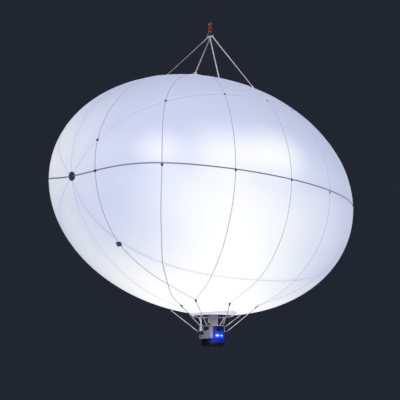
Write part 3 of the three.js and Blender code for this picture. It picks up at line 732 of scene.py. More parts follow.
def polylines(name, lines):
    """A wire mesh of polylines, each a list of points and a list of normals."""
    points, edges, normals = [], [], []
    for path, directions in lines:
        edges += [(len(points) + k, len(points) + k + 1) for k in range(len(path) - 1)]
        points += path
        normals += directions
    mesh = bpy.data.meshes.new(name)
    mesh.from_pydata(points, edges, [])
    attribute = mesh.attributes.new("cloth_normal", "FLOAT_VECTOR", "POINT")
    for index, direction in enumerate(normals):
        attribute.data[index].vector = direction
    return mesh


def sewn(name, lines, pitch, stitch, thread, slot):
    """Rows of stitches along those lines, as one piece."""
    base = polylines(name, lines)
    carried(grow(stitches, name, base, thread, Pitch=pitch, Stitch=Vector(stitch)), slot)


def edge_rows(paths, width, lift):
    """For each strip, the two stitch lines that run just inside its edges."""
    lines = []
    for path in paths:
        normals = cloth_normals(path)
        for hand in (-1, 1):
            line = []
            for index, (point, normal) in enumerate(zip(path, normals)):
                along = path[min(index + 1, len(path) - 1)] - path[max(index - 1, 0)]
                line.append(point + along.cross(normal).normalized() * (hand * width / 2) + normal * lift)
            lines.append((line, normals))
    return lines


def sphere_point(latitude, azimuth, proud=0.0):
    """The cloth at a latitude and azimuth in degrees, and a little above it."""
    unit = unit_direction(latitude, azimuth)
    point = Vector((unit.x * HALF_LENGTH, unit.y * half_width, centre_z + unit.z * HALF_HEIGHT))
    return point + envelope_normal(point) * proud


def smooth_value(table, place):
    """A smooth curve through a table of falling places and their values."""
    index = 0
    while index < len(table) - 2 and place < table[index + 1][0]:
        index += 1
    before = table[max(index - 1, 0)]
    start, end = table[index], table[index + 1]
    after = table[min(index + 2, len(table) - 1)]
    span = end[0] - start[0]
    share = (place - start[0]) / span
    slope_start = (end[1] - before[1]) / (end[0] - before[0]) * span
    slope_end = (after[1] - start[1]) / (after[0] - start[0]) * span
    square, cubic = share ** 2, share ** 3
    return (
        (2 * cubic - 3 * square + 1) * start[1] + (cubic - 2 * square + share) * slope_start
        + (3 * square - 2 * cubic) * end[1] + (cubic - square) * slope_end
    )


def load_tape_path(table, turn, steps=150):
    """Points down one load tape; a turned one is its partner on the far side."""
    first, last = table[0][0], table[-1][0]
    latitudes = [first + (last - first) * step / steps for step in range(steps + 1)]
    return [sphere_point(latitude, smooth_value(table, latitude) + turn) for latitude in latitudes]


thread_grey = woven_material("thread_grey", (0.55, 0.55, 0.6), (0.3, 0.3, 0.42), 900)
load_paths = [load_tape_path(table, turn) for turn in TURNS for table in LOAD_TAPES]
mid_paths = [seam_path(0), seam_path(4)]
load_webbing = woven_material("load_webbing", (0.3, 0.29, 0.33), (0.30, 0.30, 0.40))
mid_webbing = woven_material("mid_webbing", (0.2, 0.19, 0.22), (0.13, 0.125, 0.17))
tape_top = TAPE_LIFT + TAPE_THICK
taped("load_tape_webbing", load_paths, LOAD_TAPE_WIDTH, TAPE_THICK, TAPE_LIFT, load_webbing, "load_tapes")
taped("mid_seam_tape", mid_paths, MID_TAPE_WIDTH, TAPE_THICK, tape_top, mid_webbing, "load_tapes")
stitch_lines = edge_rows(load_paths, LOAD_TAPE_WIDTH * 0.7, tape_top)
stitch_lines += edge_rows(mid_paths, MID_TAPE_WIDTH * 0.7, tape_top + TAPE_THICK)
sewn("tape_stitches", stitch_lines, STITCH_PITCH, STITCH_SIZE, thread_grey, "tape")

# Crossing patches: a small dark disc is sewn on where a load tape crosses the mid seam or the
# upper seam, so that the tapes can't part there.
CROSSING_RADIUS = 0.019
CROSSING_THICK = 0.0025


def share_of(point):
    """A point as shares of the envelope's half sizes, from its centre."""
    return Vector((point.x / HALF_LENGTH, point.y / half_width, (point.z - centre_z) / HALF_HEIGHT))


def place_round(point):
    """A cloth point's place along the envelope and its angle round it, with the tips' droop undone."""
    unit = share_of(point).normalized()
    droop, reach = 0.0, 1.0
    for _ in range(4):
        reach = sqrt(1 - droop ** 2 + (unit.z * droop) ** 2) - unit.z * droop
        droop = TIP_DROOP * abs(reach * unit.x) ** TIP_DROOP_POWER
    return reach * unit.x, atan2(reach * unit.z + droop, -reach * unit.y)


def set_on_points(tree, entry, leave, shape, output, axis="Z", pivot="AUTO"):
    """Sets a shape on every point with one of its axes along the way the point faces."""
    points = tree.nodes.new("GeometryNodeMeshToPoints")
    facing = tree.nodes.new("FunctionNodeAlignRotationToVector")
    facing.axis = axis
    facing.pivot_axis = pivot
    place = tree.nodes.new("GeometryNodeInstanceOnPoints")
    wire(
        (entry, "Geometry", points, "Mesh"), (facing_node(tree), "Attribute", facing, "Vector"),
        (points, "Points", place, "Points"), (shape, output, place, "Instance"),
        (facing, "Rotation", place, "Rotation"),
    )
    return end_tree(tree, place, entry, leave)


def outward_points(name, places):
    """Loose points for a tree to stand things on, each with the way it faces."""
    return polylines(name, [([point], [direction]) for point, direction in places])


def disc_tree():
    """A low round disc on each point, laid flat on the cloth."""
    tree, entry, leave = new_tree("sewn_disc", Radius="Float", Thickness="Float", Material="Material")
    disc = tree.nodes.new("GeometryNodeMeshCylinder")
    disc.inputs["Vertices"].default_value = 20
    wire((entry, "Radius", disc, "Radius"), (entry, "Thickness", disc, "Depth"))
    return set_on_points(tree, entry, leave, disc, "Mesh")


def crossings(path, seam):
    """Where a path passes over a seam."""
    found = []
    last = None
    for point in path:
        x, angle = place_round(point)
        gap = (angle - SEAM_ANGLES[seam](x) + pi) % (2 * pi) - pi
        if last is not None and abs(gap) < 0.5 and gap * last < 0:
            found.append(point)
        last = gap
    return found


dark_cloth = woven_material("dark_patch_cloth", (0.07, 0.065, 0.085), (0.02, 0.02, 0.03))
crossing_lift = tape_top + TAPE_THICK + CROSSING_THICK / 2
crossing_places = []
for path in load_paths:
    for seam in (0, 1, 3, 4):
        for point in crossings(path, seam):
            place = point + envelope_normal(point) * crossing_lift
            crossing_places.append((place, envelope_normal(place)))
crossing_base = outward_points("crossings", crossing_places)
crossing_patches = grow(
    disc_tree(), "crossing_patches", crossing_base, dark_cloth,
    Radius=CROSSING_RADIUS, Thickness=CROSSING_THICK,
)
carried(crossing_patches, "dark_patch")

# Round patches: discs of coated cloth stuck down over the crown and over both tips, where all
# the seams meet. The crown's is white and single, the tips' are dark and in two layers.
PATCH_RINGS = 10
PATCH_SEGMENTS = 64
PATCH_SQUARENESS = 7
RIM_SUNK = 0.0012


def on_cloth(point, rise):
    """The cloth straight out through a point, and a little above it."""
    middle = Vector((0, 0, centre_z))
    seat = middle + (point - middle) / share_of(point).length
    return seat + envelope_normal(seat) * rise


def patch_mesh(mesh, centre, radius, thick, lift=0.0, corners=None):
    """Adds a patch that lies on the cloth: round, or square with round corners."""
    normal = envelope_normal(centre)
    first = normal.orthogonal().normalized() if corners is None else corners
    second = normal.cross(first)
    rings = []
    for ring in range(PATCH_RINGS + 1):
        share = ring / PATCH_RINGS
        edge = max(0.0, (share - 0.86) / 0.14)
        rise = lift + thick * (1 - 0.45 * edge * edge)
        row = []
        for k in range(PATCH_SEGMENTS):
            turn = 2 * pi * k / PATCH_SEGMENTS
            reach = radius * share
            if corners is not None:
                shape = abs(cos(turn)) ** PATCH_SQUARENESS + abs(sin(turn)) ** PATCH_SQUARENESS
                reach *= shape ** (-1 / PATCH_SQUARENESS)
            offset = (first * cos(turn) + second * sin(turn)) * reach
            row.append(mesh.verts.new(on_cloth(centre + offset, rise)))
            if ring == 0:
                break
        rings.append(row)
    drop = thick * 0.55 + lift + RIM_SUNK
    rim = [mesh.verts.new(vertex.co - envelope_normal(vertex.co) * drop) for vertex in rings[-1]]
    rings.append(rim)
    skin(mesh, rings)
    mesh.faces.new(list(reversed(rim)))


def coated_fabric(name, colour, roughness):
    """Heavy coated fabric: a fine weave under a slightly glossy coat."""
    layers = {"Sheen_Weight": 0.15, "Coat_Weight": 0.12, "Coat_Roughness": 0.5}
    material = new_material(name, colour, roughness, **layers)
    mottle(material, object_noise(material, 22, 5), colour, 0.07)
    weave = object_noise(material, 750, 2)
    broad = object_noise(material, 30, 3)
    bump(material, maths(material, "ADD", weave, maths(material, "MULTIPLY", broad, 1.5)), 0.0005)
    return material


white_fabric = coated_fabric("white_fabric", (0.72, 0.71, 0.75), 0.6)
# The patches' glow is the lamps' light coming through their layers.
glowing(white_fabric, (0.36, 0.37, 0.50))
END_PATCH_RADIUS = 0.062
END_PATCH_THICK = 0.005
for name, side in (("end_patch_left", -1), ("end_patch_right", 1)):
    tip = envelope_point(side, 0)
    end_mesh = bmesh.new()
    patch_mesh(end_mesh, tip, END_PATCH_RADIUS, END_PATCH_THICK * 0.6)
    patch_mesh(end_mesh, tip, END_PATCH_RADIUS * 0.62, END_PATCH_THICK * 0.5, END_PATCH_THICK * 0.6)
    fitted(name + "_cloth", end_mesh, dark_cloth, "dark_patch", name)
CROWN_CAP_RADIUS = 0.130
crown_point = sphere_point(90, 0)
crown_mesh = bmesh.new()
patch_mesh(crown_mesh, crown_point, CROWN_CAP_RADIUS, 0.0045, 0.001)
fitted("crown_cap", crown_mesh, white_fabric, "white_fabric", "load_tapes")

# Swivel eye: a forged steel ring bolt that the hoist's hook goes through. Its stem passes down
# through the yoke, and a hex nut on its end carries the whole balloon.
EYE_RADIUS = 0.030
EYE_BAR = 0.008
STEM_RADIUS = 0.009
STEM_FOOT = -0.098
NUT_RADIUS = 0.0158
NUT_TOP = -0.0848
NUT_FOOT = -0.0955


def lathe(mesh, profile, matrix=Matrix(), segments=64):
    """Turns radius and height pairs about Z; the profile closes on itself or runs from axis to axis."""
    rings = []
    for radius, height in profile:
        count = segments if radius > 0 else 1
        ring = []
        for k in range(count):
            turn = 2 * pi * k / segments
            point = Vector((radius * cos(turn), radius * sin(turn), height))
            ring.append(mesh.verts.new(matrix @ point))
        rings.append(ring)
    skin(mesh, rings, closed=len(rings[0]) > 1)


def drum(mesh, radius, low, high, matrix=Matrix(), segments=64):
    """A plain cylinder or prism round Z, between two heights."""
    lathe(mesh, ((0, high), (radius, high), (radius, low), (0, low)), matrix, segments)


def turned_piece(name, profile, matrix, segments, *values, **more):
    """A fitted piece that one turned profile makes."""
    mesh = bmesh.new()
    lathe(mesh, profile, matrix, segments)
    fitted(name, mesh, *values, **more)


def circle(centre, first, second, radius, steps=48):
    """Points round a circle in the plane of two directions."""
    turns = [2 * pi * k / steps for k in range(steps)]
    return [centre + (first * cos(turn) + second * sin(turn)) * radius for turn in turns]


def bar(mesh, path, radius, sides=12, closed=False):
    """A round bar along points, closed on itself or capped."""
    rings = []
    normal = None
    count = len(path)
    for index, point in enumerate(path):
        ahead = path[(index + 1) % count] if closed else path[min(index + 1, count - 1)]
        behind = path[index - 1] if closed or index else path[0]
        along = (ahead - behind).normalized()
        if normal is None:
            normal = along.orthogonal().normalized()
        normal = (normal - along * normal.dot(along)).normalized()
        other = along.cross(normal)
        rings.append([mesh.verts.new(place) for place in circle(point, normal, other, radius, sides)])
    skin(mesh, rings, closed)
    if not closed:
        mesh.faces.new(list(reversed(rings[0])))
        mesh.faces.new(rings[-1])


def fused(piece, voxel, material, rounds=4):
    """Joins overlapping solids into one skin with soft inner corners, as a forging has."""
    shell = piece.modifiers.new("shell", "REMESH")
    shell.mode = "VOXEL"
    shell.voxel_size = voxel
    shell.use_smooth_shade = True
    soft = piece.modifiers.new("soft", "SMOOTH")
    soft.factor = 0.5
    soft.iterations = rounds
    made_solid(piece, material)


def roughness_between(material, socket, low, high):
    """Roughness that wanders between two values."""
    join(map_range(material, socket, 0.0, 1.0, low, high), shader_input(material, "Roughness"))


def worn_edges(material, colour_socket, bare, radius, strength=0.8):
    """Bare metal or dust where the surface turns sharply, broken up by noise."""
    rounded = add_node(material, "ShaderNodeBevel", samples=4)
    rounded.inputs["Radius"].default_value = radius
    surface = add_node(material, "ShaderNodeNewGeometry")
    closeness = add_node(material, "ShaderNodeVectorMath", operation="DOT_PRODUCT")
    join(rounded.outputs["Normal"], closeness.inputs[0])
    join(surface.outputs["Normal"], closeness.inputs[1])
    edge = map_range(material, closeness.outputs["Value"], 0.99, 0.75, 0.0, strength)
    broken = map_range(material, object_noise(material, 90, 5), 0.4, 0.6)
    amount = maths(material, "MULTIPLY", edge, broken)
    mix = add_node(material, "ShaderNodeMix", data_type="RGBA")
    join(amount, mix.inputs[0])
    join(colour_socket, mix.inputs[6])
    mix.inputs[7].default_value = (*bare, 1)
    join(mix.outputs[2], shader_input(material, "Base Color"))


def metal(name, colour, roughness, grain=(1, 1, 14)):
    """Bare metal with a drawn or rolled grain, cleaner along its edges."""
    material = new_material(name, colour, roughness, Metallic=1.0)
    lines = object_noise(material, 120, 4, grain)
    tone = mottle(material, object_noise(material, 25, 5), colour, 0.18)
    worn_edges(material, tone, tuple(min(1.0, c * 1.35) for c in colour), 0.0015, 0.6)
    roughness_between(material, lines, roughness - 0.1, roughness + 0.15)
    bump(material, lines, 0.0002)
    return material


forged_steel = metal("forged_steel", (0.56, 0.57, 0.6), 0.38, (1, 1, 1))
bright_steel = metal("bright_steel", (0.68, 0.69, 0.71), 0.26)
X_WAY, Y_WAY, Z_WAY = Vector((1, 0, 0)), Vector((0, 1, 0)), Vector((0, 0, 1))
eye_centre = Vector((0, 0, EYE_BAR - EYE_RADIUS))
eye_mesh = bmesh.new()
bar(eye_mesh, circle(eye_centre, X_WAY, Z_WAY, EYE_RADIUS), EYE_BAR, 16, closed=True)
lathe(eye_mesh, (
    (0, -0.046), (0.0125, -0.047), (0.0125, -0.0525), (STEM_RADIUS, -0.0565),
    (STEM_RADIUS, STEM_FOOT + 0.001), (STEM_RADIUS - 0.001, STEM_FOOT), (0, STEM_FOOT),
), segments=32)
swivel_eye = solid_object("forged_eye", eye_mesh, forged_steel)
fused(swivel_eye, 0.0014, forged_steel)
carried(swivel_eye, "steel", "swivel_eye", body="hanger")
nut_mesh = bmesh.new()
drum(nut_mesh, NUT_RADIUS, NUT_FOOT, NUT_TOP, segments=6)
fitted("eye_nut", nut_mesh, bright_steel, "steel", "swivel_eye", edges=0.001, body="hanger")

# Swivel yoke: a cast steel bell, painted orange-red, that turns on the eye's stem. Two cheeks
# reach down from it, with a bare steel pin bolt through both that the link hangs from.
YOKE_TOP = -0.060
YOKE_CEILING = -0.084
YOKE_RIM = -0.112
YOKE_RADIUS = 0.033
YOKE_CAVITY = 0.021
YOKE_HOLE = 0.0096
CHEEK_HALF = 0.018
PIN_Z = -0.150
PIN_RADIUS = 0.008
PIN_HEAD_RADIUS = 0.0125
PIN_SHOULDER = 0.0335
PIN_END = -0.0445


def tipped(frame, place, axis="X"):
    """A frame at a place in another one, turned by a quarter about one of its axes."""
    return frame @ Matrix.Translation(place) @ Matrix.Rotation(radians(90), 4, axis)


def slab(mesh, outline, low, high, matrix=Matrix()):
    """A flat plate: an outline in X and Y with its thickness in Z."""
    bottom = [mesh.verts.new(matrix @ Vector((x, y, low))) for x, y in outline]
    top = [mesh.verts.new(matrix @ Vector((x, y, high))) for x, y in outline]
    mesh.faces.new(list(reversed(bottom)))
    mesh.faces.new(top)
    skin(mesh, (bottom, top))


def arc(centre, radius, start, end, steps=12):
    """Points of an arc in a flat outline, from one angle to another in degrees."""
    turns = [radians(start + (end - start) * k / steps) for k in range(steps + 1)]
    return [(centre[0] + radius * cos(t), centre[1] + radius * sin(t)) for t in turns]


def paint(name, colour, roughness, bare=(0.42, 0.42, 0.43), spread=0.06, **more):
    """Sprayed paint with a slight orange peel, rubbed through along the edges."""
    layers = {"Coat_Weight": 0.25, "Coat_Roughness": 0.25, **more}
    material = new_material(name, colour, roughness, **layers)
    tone = mottle(material, object_noise(material, 9, 6), colour, spread)
    worn_edges(material, tone, bare, 0.0016)
    roughness_between(material, object_noise(material, 40, 4), roughness - 0.08, roughness + 0.12)
    bump(material, object_noise(material, 500, 2), 0.00012)
    return material


red_paint = paint("orange_red_paint", (0.85, 0.06, 0.015), 0.38, (0.35, 0.3, 0.28))
turned_piece("yoke_bell", (
    (YOKE_HOLE, YOKE_CEILING), (YOKE_CAVITY, YOKE_CEILING), (YOKE_CAVITY, YOKE_RIM),
    (YOKE_RADIUS, YOKE_RIM), (YOKE_RADIUS, YOKE_RIM + 0.012), (0.030, -0.084), (0.022, -0.066),
    (0.019, YOKE_TOP), (YOKE_HOLE, YOKE_TOP),
), Matrix(), 48, red_paint, "red_paint", "swivel_yoke", edges=0.0015, rounds=3)
cheek_mesh = bmesh.new()
cheek_outline = [(-CHEEK_HALF, YOKE_RIM + 0.02), *arc((0, PIN_Z), CHEEK_HALF, 180, 360, 20)]
cheek_outline.append((CHEEK_HALF, YOKE_RIM + 0.02))
onto_side = Matrix(((0, 0, 1, 0), (1, 0, 0, 0), (0, 1, 0, 0), (0, 0, 0, 1)))
for hand in (-1, 1):
    near, far = sorted((hand * YOKE_CAVITY, hand * (YOKE_RADIUS - 0.0015)))
    slab(cheek_mesh, cheek_outline, near, far, onto_side)
fitted("yoke_cheeks", cheek_mesh, red_paint, "red_paint", "swivel_yoke", edges=0.002, rounds=3)
pin_mesh = bmesh.new()
along_x = tipped(Matrix(), (0, 0, PIN_Z), "Y")
lathe(pin_mesh, (
    (0, PIN_END), (PIN_RADIUS - 0.001, PIN_END), (PIN_RADIUS, PIN_END + 0.001),
    (PIN_RADIUS, PIN_SHOULDER), (0, PIN_SHOULDER),
), along_x, 32)
drum(pin_mesh, PIN_HEAD_RADIUS, PIN_SHOULDER, PIN_SHOULDER + 0.007, along_x, 6)
drum(pin_mesh, PIN_HEAD_RADIUS, -0.0415, -0.0345, along_x, 6)
drum(pin_mesh, 0.015, -0.0345, -0.0325, along_x, 32)
fitted("yoke_pin", pin_mesh, bright_steel, "steel", "swivel_yoke", edges=0.0008)

# Sling link: a round steel bar bent to three wide-set corners and welded shut. Its narrow top
# hangs on the yoke's pin, and the four legs of the sling lie side by side on its lower bar.
LINK_BAR = 0.008
LINK_HALF = 0.070
LINK_CREST = 0.012
CLEARANCE = 0.0004
LINK_TOP_Z = PIN_Z + PIN_RADIUS + LINK_BAR + CLEARANCE
link_low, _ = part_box("sling_link")
link_bar_z = link_low.z + LINK_BAR


def rounded_path(corners, reach, steps=8):
    """A closed path with its corners rounded off over that reach."""
    path = []
    for index, corner in enumerate(corners):
        before = (corners[index - 1] - corner).normalized() * reach + corner
        after = (corners[(index + 1) % len(corners)] - corner).normalized() * reach + corner
        for step in range(steps + 1):
            t = step / steps
            path.append(before * (1 - t) ** 2 + corner * (2 * t * (1 - t)) + after * t ** 2)
    return path


link_corners = [
    Vector((0, -LINK_CREST - 0.004, LINK_TOP_Z)),
    Vector((0, LINK_CREST + 0.004, LINK_TOP_Z)),
    Vector((0, LINK_HALF + 0.003, link_bar_z)),
    Vector((0, -LINK_HALF - 0.003, link_bar_z)),
]
link_mesh = bmesh.new()
bar(link_mesh, rounded_path(link_corners, 0.014), LINK_BAR, 16, closed=True)
fitted("bent_link", link_mesh, bright_steel, "steel", "sling_link")

# Sling legs: pale polyester webbing, each sewn back on itself round the link's bar and round a
# steel bow on the crown, with two rows and a cross of stitches at each end.
LEG_WIDE = 0.019
LEG_PLY = 0.0042
LEG_SEWN = 0.17
LEG_NECK = 0.040
LEG_JOIN = LEG_NECK + 0.03
LEG_TAIL = LEG_SEWN + 0.02
LEG_STEPS = 40
BOW_RADIUS = 0.024
BOW_BAR = 0.0055
BOW_SEAT = 0.0024
SLING_LEGS = (
    # foot's x and y, place of the top eye along the link's bar
    (-0.810, 0.350, 0.036),
    (-0.810, -0.350, -0.012),
    (0.810, 0.350, 0.012),
    (0.810, -0.350, -0.036),
)


def strap(mesh, path, sides, width, thick):
    """Flat webbing along points, with the way across it given at each."""
    normals = []
    for index, side in enumerate(sides):
        along = path[min(index + 1, len(path) - 1)] - path[max(index - 1, 0)]
        normals.append(side.cross(along).normalized())
    strip_mesh(mesh, path, normals, width, thick, -thick / 2, sides)
    return normals


def half_turn(centre, start, toward, radius, steps=12):
    """Points half round a bar, from one side of it over the other way."""
    turns = [pi * k / steps for k in range(steps + 1)]
    return [centre + (start * cos(turn) + toward * sin(turn)) * radius for turn in turns]


def webbing_eye(seat, way, face, radius):
    """A leg's end doubled back on itself round a bar, from its sewn tail to its neck."""
    path = [seat + way * LEG_TAIL - face * LEG_PLY / 2, seat + way * LEG_JOIN - face * LEG_PLY / 2]
    path.append(seat + way * LEG_NECK - face * LEG_PLY * 0.55)
    path += half_turn(seat, -face, -way, radius)
    path.append(seat + way * LEG_NECK + face * LEG_PLY * 0.55)
    return path


sling_webbing_painted_glow = coated_fabric("sling_webbing_painted_glow", (0.90, 0.87, 0.88), 0.8)
# The webbing's faint glow is painted light, for the envelope's light falling on it from below.
glowing(sling_webbing_painted_glow, (0.95, 0.9, 0.95), 0.12)
sewing_white = woven_material("sewing_white", (0.8, 0.78, 0.76), (0, 0, 0), 900)
leg_stitches = []
sling_feet = []
for number, (x, y, bar_place) in enumerate(SLING_LEGS, 1):
    rise = HALF_HEIGHT * sqrt(1 - (x / HALF_LENGTH) ** 2 - (y / half_width) ** 2)
    foot = Vector((x, y, centre_z + rise))
    normal = envelope_normal(foot)
    on_bar = Vector((0, bar_place, link_bar_z))
    pull = (on_bar - foot).normalized()
    side = normal.cross(pull).normalized()
    bow_centre = foot + normal * (BOW_SEAT + BOW_BAR + BOW_RADIUS * pull.dot(normal))
    sling_feet.append((foot, normal, side, pull, bow_centre))
    bow_top = bow_centre + pull * BOW_RADIUS
    across = (Y_WAY - pull * pull.y).normalized()
    if across.dot(side) < 0:
        across = -across
    low_face = side.cross(pull)
    high_face = across.cross(pull)
    path = webbing_eye(bow_top, pull, low_face, BOW_BAR + LEG_PLY / 2 + CLEARANCE)
    sides = [side] * len(path)
    start = bow_top + pull * LEG_JOIN
    end = on_bar - pull * LEG_JOIN
    for step in range(LEG_STEPS + 1):
        share = step / LEG_STEPS
        turned = min(1.0, max(0.0, (share - 0.3) / 0.4))
        face = (low_face * (1 - turned) + high_face * turned).normalized()
        path.append(start.lerp(end, share) + face * LEG_PLY / 2)
        sides.append((side * (1 - turned) + across * turned).normalized())
    top = webbing_eye(on_bar, -pull, high_face, LINK_BAR + LEG_PLY / 2 + CLEARANCE)
    path += reversed(top)
    sides += [across] * len(top)
    leg_mesh = bmesh.new()
    strap(leg_mesh, path, sides, LEG_WIDE, LEG_PLY)
    fitted(f"webbing_leg_{number}", leg_mesh, sling_webbing_painted_glow, "webbing", f"sling_leg_{number}")
    ends = ((bow_top, pull, side, low_face), (on_bar, -pull, across, high_face))
    for seat, way, over, face in ends:
        near, far = seat + way * (LEG_NECK + 0.035), seat + way * LEG_SEWN
        for outward in (-face, face):
            lift = outward * (LEG_PLY + 0.0003)
            for hand in (-1, 1):
                edge = over * (hand * LEG_WIDE * 0.36)
                leg_stitches.append(([near + edge + lift, far + edge + lift], [outward, outward]))
                leg_stitches.append(([near - edge + lift, far + edge + lift], [outward, outward]))
sewn("leg_sewing", leg_stitches, 0.009, (0.006, 0.0012, 0.001), sewing_white, "webbing")

# Sling patches: two layers of round white coated fabric, welded to the crown and sewn round
# their rims, with a webbing keeper across them that holds the steel bow down.
SLING_PATCH_RADIUS = 0.092
SLING_PATCH_THICK = 0.003
KEEPER_WIDE = 0.026
KEEPER_PLY = 0.003


def circle_line(centre, radius, rise):
    """A closed line round a patch, with the cloth's normals."""
    normal = envelope_normal(centre)
    first = normal.orthogonal().normalized()
    ring = circle(centre, first, normal.cross(first), radius, PATCH_SEGMENTS)
    path = [on_cloth(point, rise) for point in (*ring, ring[0])]
    return path, cloth_normals(path)


patch_rims = []
bow_steel_painted_glow = paint("white_coated_steel", (0.82, 0.81, 0.83), 0.4, (0.5, 0.5, 0.5))
# The bows' glow is painted light, so that the coated steel shows white.
glowing(bow_steel_painted_glow, (0.95, 0.9, 0.95), 0.2)
for number, (foot, normal, side, pull, bow_centre) in enumerate(sling_feet, 1):
    node = f"sling_patch_{number}"
    rounds_mesh = bmesh.new()
    patch_mesh(rounds_mesh, foot, SLING_PATCH_RADIUS, SLING_PATCH_THICK, 0.001)
    layer_top = SLING_PATCH_THICK + 0.001
    patch_mesh(rounds_mesh, foot, SLING_PATCH_RADIUS * 0.66, SLING_PATCH_THICK * 0.8, layer_top)
    fitted(f"sling_rounds_{number}", rounds_mesh, white_fabric, "white_fabric", node)
    patch_rims.append(circle_line(foot, SLING_PATCH_RADIUS * 0.93, layer_top))
    patch_rims.append(circle_line(foot, SLING_PATCH_RADIUS * 0.60, SLING_PATCH_THICK * 1.8 + 0.001))
    bow_mesh = bmesh.new()
    bar(bow_mesh, circle(bow_centre, side, pull, BOW_RADIUS, 40), BOW_BAR, 14, closed=True)
    fitted(f"steel_bow_{number}", bow_mesh, bow_steel_painted_glow, "steel", node)
    over = normal.cross(side).normalized()
    foot_bar = bow_centre - pull * BOW_RADIUS
    hump = foot_bar + normal * (BOW_BAR + KEEPER_PLY / 2)
    seat = foot + normal * (SLING_PATCH_THICK * 1.8 + KEEPER_PLY / 2 + 0.001)
    lean = (foot_bar - foot).dot(over)
    keeper_path = [seat + over * (lean + place) for place in (-0.055, -0.040, -0.022)]
    keeper_path += [hump - over * 0.009 - normal * 0.002, hump, hump + over * 0.009 - normal * 0.002]
    keeper_path += [seat + over * (lean + place) for place in (0.022, 0.040, 0.055)]
    keeper_mesh = bmesh.new()
    strap(keeper_mesh, keeper_path, [side] * len(keeper_path), KEEPER_WIDE, KEEPER_PLY)
    fitted(f"bow_keeper_{number}", keeper_mesh, sling_webbing_painted_glow, "webbing", node, edges=0.0008)
patch_rims.append(circle_line(crown_point, CROWN_CAP_RADIUS * 0.93, 0.0058))
patch_rims.append(circle_line(crown_point, CROWN_CAP_RADIUS * 0.84, 0.0058))
sewn("patch_sewing", patch_rims, 0.010, (0.0065, 0.0014, 0.001), thread_grey, "white_fabric")

# Side patches: a dark square of doubled webbing, low on each side where a load tape crosses the
# low seam, with a grey steel ring for a guy held under a keeper.
SIDE_PATCH = (-34.6, 13.1)
SIDE_PATCH_HALF = 0.036
SIDE_PATCH_THICK = 0.0045
GUY_RING_RADIUS = 0.020
GUY_RING_BAR = 0.0042
dull_ring = metal("dull_ring", (0.33, 0.33, 0.36), 0.45, (1, 1, 1))
for number, turn in enumerate(TURNS, 1):
    node = f"side_patch_{number}"
    seat = sphere_point(SIDE_PATCH[0], SIDE_PATCH[1] + turn)
    normal = envelope_normal(seat)
    level = normal.cross(Z_WAY).normalized()
    down = level.cross(normal).normalized()
    square_mesh = bmesh.new()
    patch_mesh(square_mesh, seat, SIDE_PATCH_HALF, SIDE_PATCH_THICK, 0.003, level)
    patch_mesh(square_mesh, seat, SIDE_PATCH_HALF * 0.7, 0.002, 0.003 + SIDE_PATCH_THICK, level)
    fitted(f"webbing_square_{number}", square_mesh, dark_cloth, "dark_patch", node)
    ring_centre = seat + normal * (0.007 + GUY_RING_RADIUS - GUY_RING_BAR)
    ring_mesh = bmesh.new()
    bar(ring_mesh, circle(ring_centre, normal, down, GUY_RING_RADIUS, 36), GUY_RING_BAR, 12, closed=True)
    fitted(f"guy_ring_{number}", ring_mesh, dull_ring, "steel", node)
    loop_top = seat + normal * (0.007 + GUY_RING_BAR * 1.4 + 0.002)
    low_seat = seat + normal * 0.0095
    loop_path = [low_seat - level * 0.028, low_seat - level * 0.015, loop_top - level * 0.006, loop_top]
    loop_path += [loop_top + level * 0.006, low_seat + level * 0.015, low_seat + level * 0.028]
    loop_mesh = bmesh.new()
    strap(loop_mesh, loop_path, [down] * len(loop_path), 0.018, 0.0025)
    fitted(f"ring_loop_{number}", loop_mesh, dark_cloth, "dark_patch", node)

# Mouth collar: a rolled aluminium ring that clamps the cloth's edge, painted grey. It stands
# inside the skirt, where its lip shows round the plate.
COLLAR_OUTER = 0.2916
COLLAR_INNER = 0.2822
LIP_Z = -1.818
COLLAR_TOP_Z = -1.690
UNIT_TURN = -51
unit = Matrix.Translation((0, 0, centre_z)) @ Matrix.Rotation(radians(UNIT_TURN), 4, "Z")
grey_paint = paint("light_grey_paint", (0.50, 0.49, 0.55), 0.42)
turned_piece("rolled_collar", (
    (COLLAR_INNER, LIP_Z + 0.002), (COLLAR_INNER + 0.003, LIP_Z), (COLLAR_OUTER - 0.002, LIP_Z),
    (COLLAR_OUTER, LIP_Z + 0.003), (COLLAR_OUTER, COLLAR_TOP_Z), (COLLAR_INNER, COLLAR_TOP_Z),
), unit, 128, grey_paint, "grey_paint", "mouth_collar")

# Mouth plate: a spun aluminium plate painted dark blue that shuts the mouth and carries the neck.
# It has a raised rim and a pressed ring, screws all round, two black bungs and a relief valve.
PLATE_TOP = -1.806
PLATE_FOOT = -1.812
PLATE_RADIUS = 0.2818
BUNGS = ((0.130, -0.105), (0.185, -0.060))
BUNG_RADIUS = 0.017
PLATE_SCREWS = 28
VALVE = (-0.165, -0.085)
VALVE_RADIUS = 0.056


def round_places(count, radius, height, facing, first=0.0, matrix=unit):
    """Places evenly round the unit's axis that face outwards (0), up (1) or down (-1)."""
    places = []
    for k in range(count):
        turn = 2 * pi * (k + first) / count
        out = Vector((cos(turn), sin(turn), 0))
        point = Vector((radius * out.x, radius * out.y, height))
        way = out if facing == 0 else Vector((0, 0, facing))
        places.append((matrix @ point, (matrix.to_3x3() @ way).normalized()))
    return places


